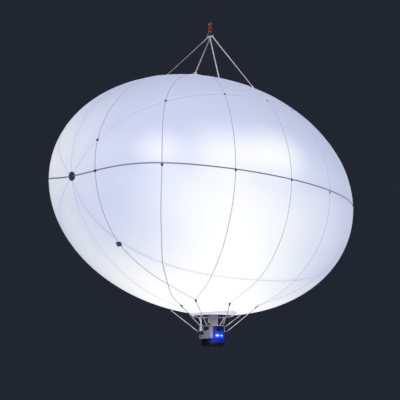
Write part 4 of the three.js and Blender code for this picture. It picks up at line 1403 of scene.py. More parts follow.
def fastener_tree():
    """A screw or bolt head with its washer on each point, facing as the point does."""
    tree, entry, leave = new_tree(
        "fastener", Radius="Float", Height="Float", Sides="Int", Material="Material",
    )
    head = tree.nodes.new("GeometryNodeMeshCylinder")
    washer = tree.nodes.new("GeometryNodeMeshCylinder")
    washer.inputs["Vertices"].default_value = 16
    wide, thin = tree.nodes.new("ShaderNodeMath"), tree.nodes.new("ShaderNodeMath")
    wide.operation = thin.operation = "MULTIPLY"
    wide.inputs[1].default_value = 1.45
    thin.inputs[1].default_value = 0.4
    both = tree.nodes.new("GeometryNodeJoinGeometry")
    wire(
        (entry, "Radius", head, "Radius"), (entry, "Height", head, "Depth"),
        (entry, "Sides", head, "Vertices"), (entry, "Radius", wide, 0), (entry, "Height", thin, 0),
        (wide, 0, washer, "Radius"), (thin, 0, washer, "Depth"),
        (head, "Mesh", both, "Geometry"), (washer, "Mesh", both, "Geometry"),
    )
    return set_on_points(tree, entry, leave, both, "Geometry")


fasteners = fastener_tree()


def fastened(name, places, radius, height, sides, material, slot):
    """A screw, bolt or grip at each of those places, as one piece."""
    base = outward_points(name, places)
    carried(grow(fasteners, name, base, material, Radius=radius, Height=height, Sides=sides), slot)


def blade_tree():
    """A flat bar on each point, its X along the way the point faces and its Z upright."""
    tree, entry, leave = new_tree("blade", Size="Vector", Material="Material")
    blade = tree.nodes.new("GeometryNodeMeshCube")
    wire((entry, "Size", blade, "Size"))
    return set_on_points(tree, entry, leave, blade, "Mesh", "X", "Z")


blades = blade_tree()


def bladed(name, places, size, material):
    """A flat bar at each of those places, as one piece."""
    return grow(blades, name, outward_points(name, places), material, Size=Vector(size))


def moulded(name, colour, roughness):
    """Moulded plastic or rubber: an even colour, a fine spark-eroded grain and greyer edges."""
    material = new_material(name, colour, roughness)
    tone = mottle(material, object_noise(material, 30, 4), colour, 0.12)
    worn_edges(material, tone, tuple(c * 1.6 + 0.03 for c in colour), 0.001, 0.5)
    grain = object_noise(material, 1500, 2)
    roughness_between(material, grain, roughness - 0.06, roughness + 0.1)
    bump(material, grain, 0.00008)
    return material


# Near-black blades set into slots are painted shade, for the dark inside of each slot.
painted_slot_shade = moulded("painted_slot_shade", (0.002, 0.002, 0.003), 0.9)
blue_paint = paint(
    "dark_blue_paint", (0.04, 0.085, 0.46), 0.45, (0.16, 0.2, 0.32), 0.15,
    Coat_Weight=0.0, Specular_IOR_Level=0.2,
)
turned_piece("spun_plate", (
    (0, PLATE_TOP), (PLATE_RADIUS, PLATE_TOP), (PLATE_RADIUS, PLATE_FOOT - 0.002),
    (PLATE_RADIUS - 0.005, PLATE_FOOT - 0.004), (PLATE_RADIUS - 0.012, PLATE_FOOT - 0.002),
    (PLATE_RADIUS - 0.018, PLATE_FOOT), (0.215, PLATE_FOOT), (0.209, PLATE_FOOT - 0.003),
    (0.199, PLATE_FOOT - 0.003), (0.193, PLATE_FOOT), (0, PLATE_FOOT),
), unit, 128, blue_paint, "blue_paint", "mouth_plate")
screw_places = round_places(PLATE_SCREWS, 0.256, PLATE_FOOT, -1)
fastened("plate_screws", screw_places, 0.0048, 0.007, 12, bright_steel, "steel")
black_rubber = moulded("black_rubber", (0.010, 0.011, 0.018), 0.55)
bung_mesh = bmesh.new()
for x, y in BUNGS:
    lathe(bung_mesh, (
        (0, 0), (BUNG_RADIUS, 0), (BUNG_RADIUS, -0.004), (BUNG_RADIUS - 0.004, -0.006),
        (BUNG_RADIUS - 0.005, -0.022), (BUNG_RADIUS - 0.008, -0.025), (0, -0.025),
    ), unit @ Matrix.Translation((x, y, PLATE_FOOT)), 32)
fitted("plate_bungs", bung_mesh, black_rubber, "black_plastic")
valve_place = unit @ Matrix.Translation((*VALVE, PLATE_FOOT))
turned_piece("relief_valve", (
    (0, 0), (VALVE_RADIUS, 0), (VALVE_RADIUS, -0.004), (0.046, -0.006), (0.046, -0.020),
    (0.041, -0.025), (0.020, -0.028), (0, -0.028),
), valve_place, 48, black_rubber, "black_plastic")
# The valve's slots are near-black blades: painted shade for their dark insides.
slot_places = round_places(24, 0.0462, -0.013, 0, 0, valve_place)
carried(bladed("valve_slots", slot_places, (0.0016, 0.004, 0.008), painted_slot_shade), "black_plastic")

# Mouth skirt: white coated cloth, pleated into a flared cone, that hides the clamped joint. Its
# flat top edge is sewn to the envelope, and a draw hem runs round the collar's lip.
SKIRT_TOP_RADIUS = 0.352
SKIRT_FLANGE = 0.014
SKIRT_LIP_RADIUS = 0.305
SKIRT_CLOTH = 0.002
SKIRT_PLEATS = 64
PLEAT_DEPTH = 0.0028
SKIRT_COLUMNS = 512
SKIRT_ROWS = 14


def under_cloth(x, y):
    """The envelope's height at a place near its mouth."""
    return centre_z - HALF_HEIGHT * sqrt(1 - (x / HALF_LENGTH) ** 2 - (y / half_width) ** 2)


def pleat(turn):
    """How far the gathered cloth stands out or in at a turn, deeper on its looser side."""
    out = Vector((cos(turn), sin(turn), 0))
    loose = 0.5 + 0.5 * noise.noise(Vector((out.x * 1.3, out.y * 1.3, 4.2))) - 0.35 * out.x
    drift = 2.5 * noise.noise(Vector((out.x * 3, out.y * 3, 0.5)))
    return (0.35 + loose) * cos(SKIRT_PLEATS * turn + drift)


def skirt_point(turn, share, lift):
    """A point of the skirt: share 0 at the lip, 1 where it meets the cloth, more on the flange."""
    out = Vector((cos(turn), sin(turn), 0))
    top = under_cloth(out.x * SKIRT_TOP_RADIUS, out.y * SKIRT_TOP_RADIUS) - RIM_SUNK
    if share <= 1:
        radius = SKIRT_LIP_RADIUS + (SKIRT_TOP_RADIUS - SKIRT_LIP_RADIUS) * share ** 1.25
        height = (centre_z + LIP_Z) * (1 - share) + top * share
        fold = PLEAT_DEPTH * pleat(turn) * sin(pi * min(1.0, share * 0.9 + 0.1)) ** 0.7
        slope = Vector((out.x * 0.75, out.y * 0.75, -0.66))
        return out * radius + Vector((0, 0, height)) + slope * (fold + lift)
    radius = SKIRT_TOP_RADIUS + SKIRT_FLANGE * (share - 1)
    height = under_cloth(out.x * radius, out.y * radius) - RIM_SUNK
    return out * radius + Vector((0, 0, height - lift))


skirt_shares = [step / SKIRT_ROWS for step in range(SKIRT_ROWS + 1)] + [1.35, 1.7, 2.0]
skirt_mesh = bmesh.new()
# The fold layer keeps how far each point's pleat stands out; the skirt's glow reads it for painted shade
# in the valleys and painted light on the crests.
pleat_shade_layer = skirt_mesh.verts.layers.float.new("fold")
skirt_layers = []
for lift in (SKIRT_CLOTH, 0.0):
    for share in (skirt_shares if lift else reversed(skirt_shares)):
        ring = []
        for k in range(SKIRT_COLUMNS):
            turn = 2 * pi * k / SKIRT_COLUMNS
            vertex = skirt_mesh.verts.new(skirt_point(turn, share, lift))
            vertex[pleat_shade_layer] = 0.5 + 0.5 * pleat(turn) * sin(pi * min(1.0, share * 0.8 + 0.1))
            ring.append(vertex)
        skirt_layers.append(ring)
skin(skirt_mesh, skirt_layers, closed=True)
skirt_cloth_painted_light = coated_fabric("skirt_cloth_painted_light", (0.66, 0.65, 0.68), 0.55)
# The skirt glows though it is no lamp: painted light, dimmed in the pleats' valleys as painted shade and
# made uneven by a noise.
painted_pleat_shade = add_node(skirt_cloth_painted_light, "ShaderNodeAttribute", attribute_name="fold").outputs["Fac"]
painted_light_unevenness = maths(skirt_cloth_painted_light, "MULTIPLY_ADD", object_noise(skirt_cloth_painted_light, 7, 3), 0.9, -0.45)
glowing(skirt_cloth_painted_light, ramp_between(skirt_cloth_painted_light, maths(skirt_cloth_painted_light, "ADD", painted_pleat_shade, painted_light_unevenness), (
    (0.0, (0.17, 0.155, 0.23)), (0.45, (0.44, 0.42, 0.50)), (1.0, (0.54, 0.52, 0.58)),
)))
skirt = solid_object("pleated_skirt", skirt_mesh, skirt_cloth_painted_light, 60)
carried(skirt, "white_fabric", "mouth_skirt")
hem_lines = []
for share, steepness in ((0.10, 0.9), (0.16, 0.9), (1.5, 9)):
    line = [skirt_point(2 * pi * k / 256, share, SKIRT_CLOTH + 0.0003) for k in range(257)]
    hem_lines.append((line, [Vector((p.x, p.y, -p.xy.length * steepness)).normalized() for p in line]))
sewn("skirt_sewing", hem_lines, 0.008, (0.0055, 0.0012, 0.001), thread_grey, "white_fabric")
cord_mesh = bmesh.new()
hem_ring = [skirt_point(2 * pi * k / 160, 0.0, SKIRT_CLOTH / 2) for k in range(160)]
bar(cord_mesh, hem_ring, 0.0032, 8, closed=True)
fitted("skirt_hem", cord_mesh, skirt_cloth_painted_light, "white_fabric", "mouth_skirt")

# Neck: a square ducted housing of folded aluminium sheet, painted light grey, that joins the
# plate to the unit. It has corner posts, a bolted flange at each end and slatted side panels.
NECK_HALF_X = 0.074
NECK_HALF_Y = 0.066
NECK_TOP = -1.8124
NECK_FOOT = -1.9676
NECK_RECESS = 0.005
NECK_POST = 0.015
FLANGE_THICK = 0.007
FLANGE_PROUD = 0.005
LOUVRES = 7
LOUVRE_PITCH = 0.015
FIRST_LOUVRE = 0.030


def block(mesh, low, high, matrix=Matrix()):
    """A plain block between two corners, for pieces whose edges are rounded afterwards."""
    (x0, y0, z0), (x1, y1, z1) = low, high
    slab(mesh, ((x0, y0), (x1, y0), (x1, y1), (x0, y1)), z0, z1, matrix)


neck_mesh = bmesh.new()
core_x, core_y = NECK_HALF_X - NECK_RECESS, NECK_HALF_Y - NECK_RECESS
block(neck_mesh, (-core_x, -core_y, NECK_FOOT), (core_x, core_y, NECK_TOP), unit)
neck_paint = paint("neck_panel_paint", (0.26, 0.245, 0.33), 0.5)
fitted("neck_duct", neck_mesh, neck_paint, "grey_paint", "neck_housing")
frame_mesh = bmesh.new()
for x in (-NECK_HALF_X, NECK_HALF_X - NECK_POST):
    for y in (-NECK_HALF_Y, NECK_HALF_Y - NECK_POST):
        high = (x + NECK_POST, y + NECK_POST, NECK_TOP - FLANGE_THICK)
        block(frame_mesh, (x, y, NECK_FOOT + FLANGE_THICK), high, unit)
for low, high in ((NECK_TOP - FLANGE_THICK, NECK_TOP), (NECK_FOOT, NECK_FOOT + FLANGE_THICK)):
    reach_x, reach_y = NECK_HALF_X + FLANGE_PROUD, NECK_HALF_Y + FLANGE_PROUD
    block(frame_mesh, (-reach_x, -reach_y, low), (reach_x, reach_y, high), unit)
fitted("neck_frame", frame_mesh, grey_paint, "grey_paint", "neck_housing", edges=0.0015)
slat_places = []
neck_bolts = []
for out, reach, half in (
    (-Y_WAY, NECK_HALF_Y, NECK_HALF_X), (X_WAY, NECK_HALF_X, NECK_HALF_Y),
    (Y_WAY, NECK_HALF_Y, NECK_HALF_X), (-X_WAY, NECK_HALF_X, NECK_HALF_Y),
):
    along = Vector((-out.y, out.x, 0))
    way = (unit.to_3x3() @ out).normalized()
    for k in range(LOUVRES):
        height = NECK_FOOT + FIRST_LOUVRE + k * LOUVRE_PITCH
        slat_places.append((unit @ (out * (reach - NECK_RECESS + 0.001) + Vector((0, 0, height))), way))
    for share in (-0.82, 0.0, 0.82):
        for height, facing in ((NECK_TOP - FLANGE_THICK, -1), (NECK_FOOT + FLANGE_THICK, 1)):
            spot = out * (reach + FLANGE_PROUD - 0.005) + along * (half * share)
            neck_bolts.append((unit @ (spot + Vector((0, 0, height))), Vector((0, 0, facing))))
carried(bladed("neck_slats", slat_places, (0.007, 0.096, 0.004), grey_paint), "grey_paint")
fastened("neck_bolts", neck_bolts, 0.0032, 0.006, 6, bright_steel, "steel")

# Lead box: a small black moulded junction box screwed to the neck's near side, with a lid and a
# blanking plug, where the lamps' leads are joined.
LEAD_LOW = (-0.101, -0.0960, -1.960)
LEAD_HIGH = (-0.037, -0.0665, -1.929)
lead_mesh = bmesh.new()
block(lead_mesh, LEAD_LOW, (LEAD_HIGH[0], LEAD_HIGH[1], LEAD_HIGH[2] - 0.008), unit)
block(lead_mesh, (LEAD_LOW[0] - 0.0015, LEAD_LOW[1] - 0.0015, LEAD_HIGH[2] - 0.0075), LEAD_HIGH, unit)
black_moulding = moulded("black_moulding", (0.016, 0.017, 0.021), 0.5)
fitted("junction_box", lead_mesh, black_moulding, "black_plastic", "lead_box", edges=0.002, rounds=3)
turned_piece("junction_plug", (
    (0, 0), (0.0085, 0), (0.0085, 0.004), (0.006, 0.005), (0.006, 0.009), (0, 0.010),
), tipped(unit, (-0.085, -0.0955, -1.948)), 24, black_moulding, "black_plastic")

# Crown plate: a laser-cut steel disc that closes the unit's top, with eight rounded ears for the
# stays; two of the ears hang lower, on straps that run down outside the fins.
CROWN_RADIUS = 0.166
CROWN_TOP = -1.968
CROWN_FOOT = -1.976
EAR_HALF = 0.015
EAR_TIP = 0.205
EAR_HOLE = 0.006
STRAP_RADIUS = 0.176
STRAP_THICK = 0.006
STAYS = (
    # azimuth and latitude of its tab, the bearing of its ear, and the ear's height
    (12.4, -73, -22, -1.972),
    (38.2, -68, 14, -1.972),
    (72.4, -69.7, 84, -1.972),
    (107.7, -69, 122, -2.052),
)
steel_plate = metal("zinc_plated_steel", (0.47, 0.48, 0.51), 0.42, (1, 1, 1))


def ear_ring(inner, outer, low, high, matrix, mesh):
    """A flat eye with a real hole, its outline rounded at the tip and square at the root."""
    rim = [(inner, -EAR_HALF), *arc((outer - EAR_HALF, 0), EAR_HALF, -90, 90, 14), (inner, EAR_HALF)]
    hole = arc((outer - EAR_HALF, 0), EAR_HOLE, -180, 180, len(rim) - 1)
    rings = []
    for points, height in ((rim, low), (rim, high), (hole, high), (hole, low)):
        rings.append([mesh.verts.new(matrix @ Vector((x, y, height))) for x, y in points])
    skin(mesh, rings, closed=True)


crown_mesh = bmesh.new()
drum(crown_mesh, CROWN_RADIUS, CROWN_FOOT, CROWN_TOP, unit, 96)
stay_ears = []
for turn in TURNS:
    for azimuth, latitude, bearing, height in STAYS:
        direction = unit_direction(0, bearing + turn)
        stay_ears.append((azimuth + turn, latitude, direction, height))
        swing = Matrix.Rotation(atan2(direction.y, direction.x), 4, "Z")
        swing = Matrix.Translation((0, 0, centre_z)) @ swing
        low_ear = height < CROWN_FOOT
        root = STRAP_RADIUS - 0.001 if low_ear else CROWN_RADIUS - 0.012
        ear_ring(root, EAR_TIP, height - 0.0035, height + 0.0035, swing, crown_mesh)
        if low_ear:
            high = (STRAP_RADIUS, EAR_HALF, CROWN_TOP)
            block(crown_mesh, (STRAP_RADIUS - STRAP_THICK, -EAR_HALF, height - 0.0035), high, swing)
            block(crown_mesh, (CROWN_RADIUS - 0.012, -EAR_HALF, CROWN_TOP - 0.006), high, swing)
fitted("eared_disc", crown_mesh, steel_plate, "steel", "crown_plate", edges=0.001)
bolt_places = round_places(20, 0.148, CROWN_TOP, 1, 0.5)
fastened("crown_bolts", bolt_places, 0.0055, 0.009, 6, bright_steel, "steel")

# Cooling fins: a finned aluminium casting, painted dark blue-black, that takes the lamps' heat
# away; thin upright blades stand round a core between a top and a bottom ring.
FIN_CORE = 0.132
FIN_TIP = 0.1605
FIN_TOP = -1.9768
FIN_FOOT = -2.0616
FIN_COUNT = 46
FIN_RING = 0.004
fin_paint = paint("blue_black_paint", (0.022, 0.02, 0.19), 0.42, (0.10, 0.10, 0.22), 0.2)
turned_piece("fin_core", (
    (0, FIN_TOP), (FIN_TIP - 0.004, FIN_TOP), (FIN_TIP - 0.004, FIN_TOP - FIN_RING),
    (FIN_CORE, FIN_TOP - FIN_RING), (FIN_CORE, FIN_FOOT + FIN_RING), (FIN_TIP, FIN_FOOT + FIN_RING),
    (FIN_TIP, FIN_FOOT), (0, FIN_FOOT),
), unit, 96, fin_paint, "black_paint", "cooling_fins")
fin_mid, fin_tall = (FIN_CORE + FIN_TIP) / 2 - 0.001, FIN_TOP - FIN_FOOT - 0.001
fin_places = round_places(FIN_COUNT, fin_mid, (FIN_TOP + FIN_FOOT) / 2, 0)
fin_blades = bladed("fin_blades", fin_places, (FIN_TIP - FIN_CORE, 0.0034, fin_tall), fin_paint)
rounded_edges(fin_blades, 0.0007)
carried(fin_blades, "black_paint", "cooling_fins")

# Light band: a ring of ribbed clear moulding lit blue by lamps behind it, between two rims.
# Two bright windows in raised bezels face the near side.
BAND_RADIUS = 0.172
BAND_TOP = -2.0628
BAND_FOOT = -2.1596
BAND_RIM = 0.006
FLUTES = 120
FLUTE_DEPTH = 0.0018
WINDOW_TOP = -2.100
WINDOW_FOOT = -2.139
WINDOW_PROUD = 0.003
WINDOWS = ((0.040, 0.092), (0.110, 0.146))
HALO_CORE = 0.022
HALO_REACH = 0.072


def window_direction(start, end):
    """The place on the band in front of a window's middle."""
    across = (start + end) / 2
    height = (WINDOW_TOP + WINDOW_FOOT) / 2
    return unit @ Vector((across, -sqrt(BAND_RADIUS ** 2 - across ** 2), height))


def lamp_material():
    """Blue lens: deeper towards the box, brighter round the two windows, finely mottled."""
    material = new_material("blue_lens", (0.0, 0.01, 0.4), 0.3, Specular_IOR_Level=0.25)
    place = add_node(material, "ShaderNodeTexCoord").outputs["Object"]
    halo = None
    for window in WINDOWS:
        away = vector_maths(material, "DISTANCE", place, window_direction(*window)).outputs["Value"]
        near = map_range(material, away, HALO_CORE, HALO_REACH, 1.0, 0.0, smooth=True)
        halo = near if halo is None else maths(material, "MAXIMUM", halo, near)
    speckle = maths(material, "MULTIPLY_ADD", object_noise(material, 70, 4), 0.16, -0.08)
    level = maths(material, "ADD", maths(material, "MULTIPLY", halo, 0.9), speckle)
    glowing(material, ramp_between(material, level, (
        (0.0, (0.0, 0.005, 0.36)), (0.35, (0.0, 0.015, 0.72)),
        (0.7, (0.0, 0.06, 0.95)), (1.0, (0.01, 0.18, 1.0)),
    )))
    return material


def window_glass(name, colour):
    """A lit window: bright in the middle, a little uneven."""
    material = new_material(name, colour, 0.15)
    mottle(material, object_noise(material, 60, 3), colour, 0.1)
    stops = ((0.3, tuple(c * 0.93 for c in colour)), (0.7, colour))
    glowing(material, ramp_between(material, object_noise(material, 45, 2), stops), 1.15)
    return material


def ring_band(mesh, start, end, near, far, low, high, steps=12):
    """A curved plate on the unit's axis, between two angles in degrees."""
    outline = arc((0, 0), far, start, end, steps) + arc((0, 0), near, end, start, steps)
    slab(mesh, outline, low, high, unit)


band_mesh = bmesh.new()
outline = []
for k in range(2 * FLUTES):
    turn = pi * k / FLUTES
    radius = BAND_RADIUS - (FLUTE_DEPTH if k % 2 else 0.0003)
    outline.append((radius * cos(turn), radius * sin(turn)))
slab(band_mesh, outline, BAND_FOOT + BAND_RIM - 0.001, BAND_TOP - BAND_RIM + 0.001, unit)
fitted("fluted_lens", band_mesh, lamp_material(), "blue_light", "light_band", sharp=60)
lit_blue = new_material("lit_blue_moulding", (0.02, 0.1, 0.8), 0.3)
mottle(lit_blue, object_noise(lit_blue, 60, 3), (0.02, 0.1, 0.8), 0.2)
glowing(lit_blue, (0.0, 0.03, 0.75), 0.9)
rim_mesh = bmesh.new()
for low, high in ((BAND_TOP - BAND_RIM, BAND_TOP), (BAND_FOOT, BAND_FOOT + BAND_RIM)):
    drum(rim_mesh, BAND_RADIUS, low, high, unit, 96)
fitted("band_rims", rim_mesh, lit_blue, "blue_light", "light_band", edges=0.0015)
bezel_mesh = bmesh.new()
WINDOW_COLOURS = ((0.93, 0.97, 1.0), (0.36, 0.58, 1.0))
for number, ((start, end), colour) in enumerate(zip(WINDOWS, WINDOW_COLOURS), 1):
    first, last = [degrees(asin(across / BAND_RADIUS)) - 90 for across in (start, end)]
    glass_mesh = bmesh.new()
    near, far = BAND_RADIUS - 0.004, BAND_RADIUS + 0.002
    ring_band(glass_mesh, first + 1.2, last - 1.2, near, far, WINDOW_FOOT + 0.010, WINDOW_TOP - 0.010)
    glass = window_glass(f"window_glass_{number}", colour)
    fitted(f"lit_window_{number}", glass_mesh, glass, "blue_light", "light_band", sharp=60)
    far = BAND_RADIUS + WINDOW_PROUD
    ring_band(bezel_mesh, first, first + 1.2, near, far, WINDOW_FOOT, WINDOW_TOP, 3)
    ring_band(bezel_mesh, last - 1.2, last, near, far, WINDOW_FOOT, WINDOW_TOP, 3)
    ring_band(bezel_mesh, first, last, near, far, WINDOW_TOP - 0.010, WINDOW_TOP)
    ring_band(bezel_mesh, first, last, near, far, WINDOW_FOOT, WINDOW_FOOT + 0.010)
fitted("window_bezels", bezel_mesh, lit_blue, "blue_light", "light_band", sharp=60)

# Blower case: a spun drum under the band, painted dark blue, open below, with a short fixed shaft
# in its roof that the fan turns on. Its colour is painted shade, near black, on the box's side, and
# painted light from the band, bluer and glowing, on the side away from the box.
CASE_RADIUS = 0.172
CASE_WALL = 0.008
CASE_TOP = -2.1604
CASE_ROOF = -2.1744
CASE_FOOT = -2.2240
SHAFT_RADIUS = 0.008
SHAFT_FOOT = -2.232
case_paint_painted_light = new_material("blower_case_paint_painted_light", (0.01, 0.03, 0.3), 0.35, Specular_IOR_Level=0.2)
case_place = add_node(case_paint_painted_light, "ShaderNodeTexCoord").outputs["Object"]
# The base colour runs from painted shade, near black, on the box's side to painted light, blue, towards
# the windows, where the paint also glows: painted light from the band.
toward_windows = (unit.to_3x3() @ Vector((0.80, -0.60, 0))).normalized()
lean = vector_maths(case_paint_painted_light, "DOT_PRODUCT", case_place, tuple(toward_windows)).outputs["Value"]
lean = maths(case_paint_painted_light, "MULTIPLY_ADD", lean, 1 / (2 * CASE_RADIUS), 0.5)
cloud = maths(case_paint_painted_light, "MULTIPLY_ADD", object_noise(case_paint_painted_light, 25, 5), 0.08, -0.04)
lean = maths(case_paint_painted_light, "ADD", lean, cloud)
case_painted_shade_and_light = ramp_between(case_paint_painted_light, lean, (
    (0.38, (0.003, 0.004, 0.012)), (0.58, (0.004, 0.008, 0.05)),
    (0.74, (0.004, 0.014, 0.2)), (1.0, (0.005, 0.02, 0.26)),
))
worn_edges(case_paint_painted_light, case_painted_shade_and_light, (0.12, 0.14, 0.22), 0.0015)
glowing(case_paint_painted_light, ramp_between(case_paint_painted_light, lean, (
    (0.60, (0.0, 0.0, 0.0)), (0.80, (0.0, 0.004, 0.12)), (1.0, (0.0, 0.005, 0.14)),
)))
roughness_between(case_paint_painted_light, object_noise(case_paint_painted_light, 45, 4), 0.35, 0.55)
turned_piece("spun_drum", (
    (0, CASE_TOP), (CASE_RADIUS, CASE_TOP), (CASE_RADIUS, -2.176), (CASE_RADIUS - 0.0025, -2.178),
    (CASE_RADIUS - 0.0025, -2.181), (CASE_RADIUS, -2.183), (CASE_RADIUS, CASE_FOOT),
    (CASE_RADIUS - CASE_WALL, CASE_FOOT), (CASE_RADIUS - CASE_WALL, CASE_ROOF), (SHAFT_RADIUS, CASE_ROOF),
    (SHAFT_RADIUS, SHAFT_FOOT), (0, SHAFT_FOOT),
), unit, 96, case_paint_painted_light, "blue_paint", "blower_case")
rim_places = round_places(16, CASE_RADIUS, -2.2135, 0, 0.25)
fastened("case_screws", rim_places, 0.0035, 0.004, 12, fin_paint, "black_paint")

# Intake grille: the black die-cast base of the blower, with a rounded wall, a row of air slots
# round its lower edge, three rings on eight spokes and a domed boss under the fan.
BASE_RADIUS = 0.177
BASE_WALL = 0.013
BASE_TOP = -2.2244
BASE_FOOT = -2.268
SPOKE_TOP = BASE_FOOT + 0.008
GRILLE_RINGS = (0.078, 0.112, 0.142)
RING_HALF = 0.003
SPOKES = 8
BOSS_RADIUS = 0.044
SLOT_COUNT = 40
base_black = paint(
    "base_black_paint", (0.002, 0.003, 0.016), 0.42, (0.03, 0.035, 0.06), 0.3,
    Coat_Weight=0.0, Specular_IOR_Level=0.18,
)
base_mesh = bmesh.new()
base_inner = BASE_RADIUS - BASE_WALL
lathe(base_mesh, (
    (base_inner, BASE_TOP), (BASE_RADIUS - 0.002, BASE_TOP), (BASE_RADIUS, BASE_TOP - 0.002),
    (BASE_RADIUS, -2.2430), (BASE_RADIUS - 0.0018, -2.2440), (BASE_RADIUS - 0.0018, -2.2470),
    (BASE_RADIUS, -2.2480), (BASE_RADIUS, -2.2550), (BASE_RADIUS - 0.002, -2.2620),
    (BASE_RADIUS - 0.006, -2.2665), (BASE_RADIUS - 0.010, BASE_FOOT), (base_inner, BASE_FOOT),
), unit, 96)
for radius in GRILLE_RINGS:
    lathe(base_mesh, (
        (radius - RING_HALF, SPOKE_TOP), (radius + RING_HALF, SPOKE_TOP),
        (radius + RING_HALF, BASE_FOOT + 0.001), (radius, BASE_FOOT),
        (radius - RING_HALF, BASE_FOOT + 0.001),
    ), unit, 72)
lathe(base_mesh, (
    (0, SPOKE_TOP), (BOSS_RADIUS, SPOKE_TOP), (BOSS_RADIUS, BASE_FOOT + 0.004),
    (BOSS_RADIUS - 0.004, BASE_FOOT + 0.0012), (0.020, BASE_FOOT), (0, BASE_FOOT),
), unit, 48)
for k in range(SPOKES):
    swing = unit @ Matrix.Rotation(2 * pi * k / SPOKES, 4, "Z")
    block(
        base_mesh, (BOSS_RADIUS - 0.003, -0.0045, BASE_FOOT + 0.0008),
        (base_inner + 0.003, 0.0045, SPOKE_TOP), swing,
    )
fitted("cast_base", base_mesh, base_black, "black_paint", "intake_grille", edges=0.0008)
# The air slots are near-black blades in the wall: painted shade for their dark insides.
slot_places = round_places(SLOT_COUNT, BASE_RADIUS - 0.0005, -2.2565, 0)
carried(bladed("base_slots", slot_places, (0.003, 0.013, 0.006), painted_slot_shade), "black_plastic")
foot_places = round_places(SPOKES, 0.171, BASE_FOOT + 0.001, -1, 0.5)
fastened("base_screws", foot_places, 0.004, 0.004, 12, base_black, "black_paint")

# Fan: seven twisted and cambered blades on a domed hub, moulded in one piece of black plastic,
# turning on the case's shaft just above the grille.
FAN_RADIUS = 0.1415
HUB_RADIUS = 0.038
HUB_BORE = 0.0086
FAN_TOP = -2.184
FAN_FOOT = -2.236
FAN_BLADES = 7
BLADE_CHORD = 0.043
BLADE_THICK = 0.0036
BLADE_STATIONS = 9
CHORD_STEPS = 6
fan_mesh = bmesh.new()
lathe(fan_mesh, (
    (HUB_BORE, FAN_TOP + 0.001), (HUB_RADIUS - 0.004, FAN_TOP), (HUB_RADIUS, FAN_TOP - 0.004),
    (HUB_RADIUS, FAN_FOOT + 0.014), (HUB_RADIUS - 0.006, FAN_FOOT + 0.005), (0.020, FAN_FOOT),
    (HUB_BORE, FAN_FOOT),
), unit, 48)
fan_middle = (FAN_TOP + FAN_FOOT) / 2
for blade in range(FAN_BLADES):
    swing = unit @ Matrix.Rotation(2 * pi * blade / FAN_BLADES, 4, "Z")
    stations = []
    for station in range(BLADE_STATIONS):
        share = station / (BLADE_STATIONS - 1)
        radius = HUB_RADIUS - 0.004 + (FAN_RADIUS - HUB_RADIUS + 0.004) * share
        pitch = radians(44 - 20 * share)
        chord = BLADE_CHORD * (0.85 + 0.3 * sin(pi * min(1.0, share * 1.15)))
        thick = BLADE_THICK * (1 - 0.35 * share)
        section = []
        for side in (1, -1):
            for step in range(CHORD_STEPS + 1):
                run = step / CHORD_STEPS if side > 0 else 1 - step / CHORD_STEPS
                along = (run - 0.5) * chord
                camber = 0.09 * chord * sin(pi * run)
                offset = camber + side * thick / 2 * (0.35 + 0.65 * sin(pi * run))
                swept = radius * cos(along * cos(pitch) / radius)
                around = along * cos(pitch) - offset * sin(pitch)
                rise = along * sin(pitch) + offset * cos(pitch)
                section.append(fan_mesh.verts.new(swing @ Vector((swept, around, fan_middle + rise))))
        stations.append(section)
    fan_mesh.faces.new(stations[0])
    fan_mesh.faces.new(list(reversed(stations[-1])))
    skin(fan_mesh, stations)
fan_moulding = moulded("fan_moulding", (0.03, 0.031, 0.035), 0.42)
fitted("moulded_fan", fan_mesh, fan_moulding, "black_plastic", "fan_rotor", sharp=50, body="fan")

# Control box: a folded and welded sheet steel cabinet, painted light grey, with a curved back that
# fits the band. Its door has a seam all round, hinges on one side, screws and a rain lip.
BOX_HALF = 0.107
BOX_NEAR = 0.100
BOX_FACE = 0.198
BOX_TOP = -1.986
BOX_FOOT = -2.162
BOX_BACK_RADIUS = 0.1726
DOOR_MARGIN = 0.006
DOOR_THICK = 0.003
HINGE_HALF = 0.013
BOX_TURN = -38
box_frame = unit @ Matrix.Rotation(radians(BOX_TURN), 4, "Z")
box_paint = paint("box_grey_paint", (0.50, 0.49, 0.55), 0.4, (0.6, 0.6, 0.63))
box_mesh = bmesh.new()
block(box_mesh, (-BOX_HALF, -BOX_FACE + DOOR_THICK, BOX_FOOT), (BOX_HALF, -BOX_NEAR, BOX_TOP), box_frame)
cabinet = solid_object("cabinet", box_mesh, box_paint)
cutter_mesh = bmesh.new()
drum(cutter_mesh, BOX_BACK_RADIUS, BOX_FOOT - 0.02, BOX_TOP + 0.02, unit, 128)
cutter = solid_object("cabinet_cutter", cutter_mesh, box_paint)
cut_away(cabinet, cutter, box_paint)
rounded_edges(cabinet, 0.003, 3)
carried(cabinet, "grey_paint", "control_box")
# The door is a darker grey than the cabinet: painted shade on the box's front.
door_with_painted_shade = paint("door_grey_with_painted_shade", (0.32, 0.305, 0.37), 0.42, (0.5, 0.5, 0.53))
door_mesh = bmesh.new()
door_low = (-BOX_HALF + DOOR_MARGIN, -BOX_FACE - 0.0005, BOX_FOOT + DOOR_MARGIN)
door_high = (BOX_HALF - DOOR_MARGIN, -BOX_FACE + DOOR_THICK - 0.0005, BOX_TOP - DOOR_MARGIN)
block(door_mesh, door_low, door_high, box_frame)
rain_high = (BOX_HALF + 0.002, -0.150, BOX_TOP)
block(door_mesh, (-BOX_HALF - 0.002, -BOX_FACE - 0.007, BOX_TOP - 0.003), rain_high, box_frame)
fitted("cabinet_door", door_mesh, door_with_painted_shade, "grey_paint", "control_box", edges=0.0012)
hinge_mesh = bmesh.new()
for height in (-2.020, -2.128):
    barrel = box_frame @ Matrix.Translation((-BOX_HALF + 0.002, -BOX_FACE - 0.002, height))
    drum(hinge_mesh, 0.0045, -HINGE_HALF, HINGE_HALF, barrel, 16)
fitted("door_hinges", hinge_mesh, steel_plate, "steel")
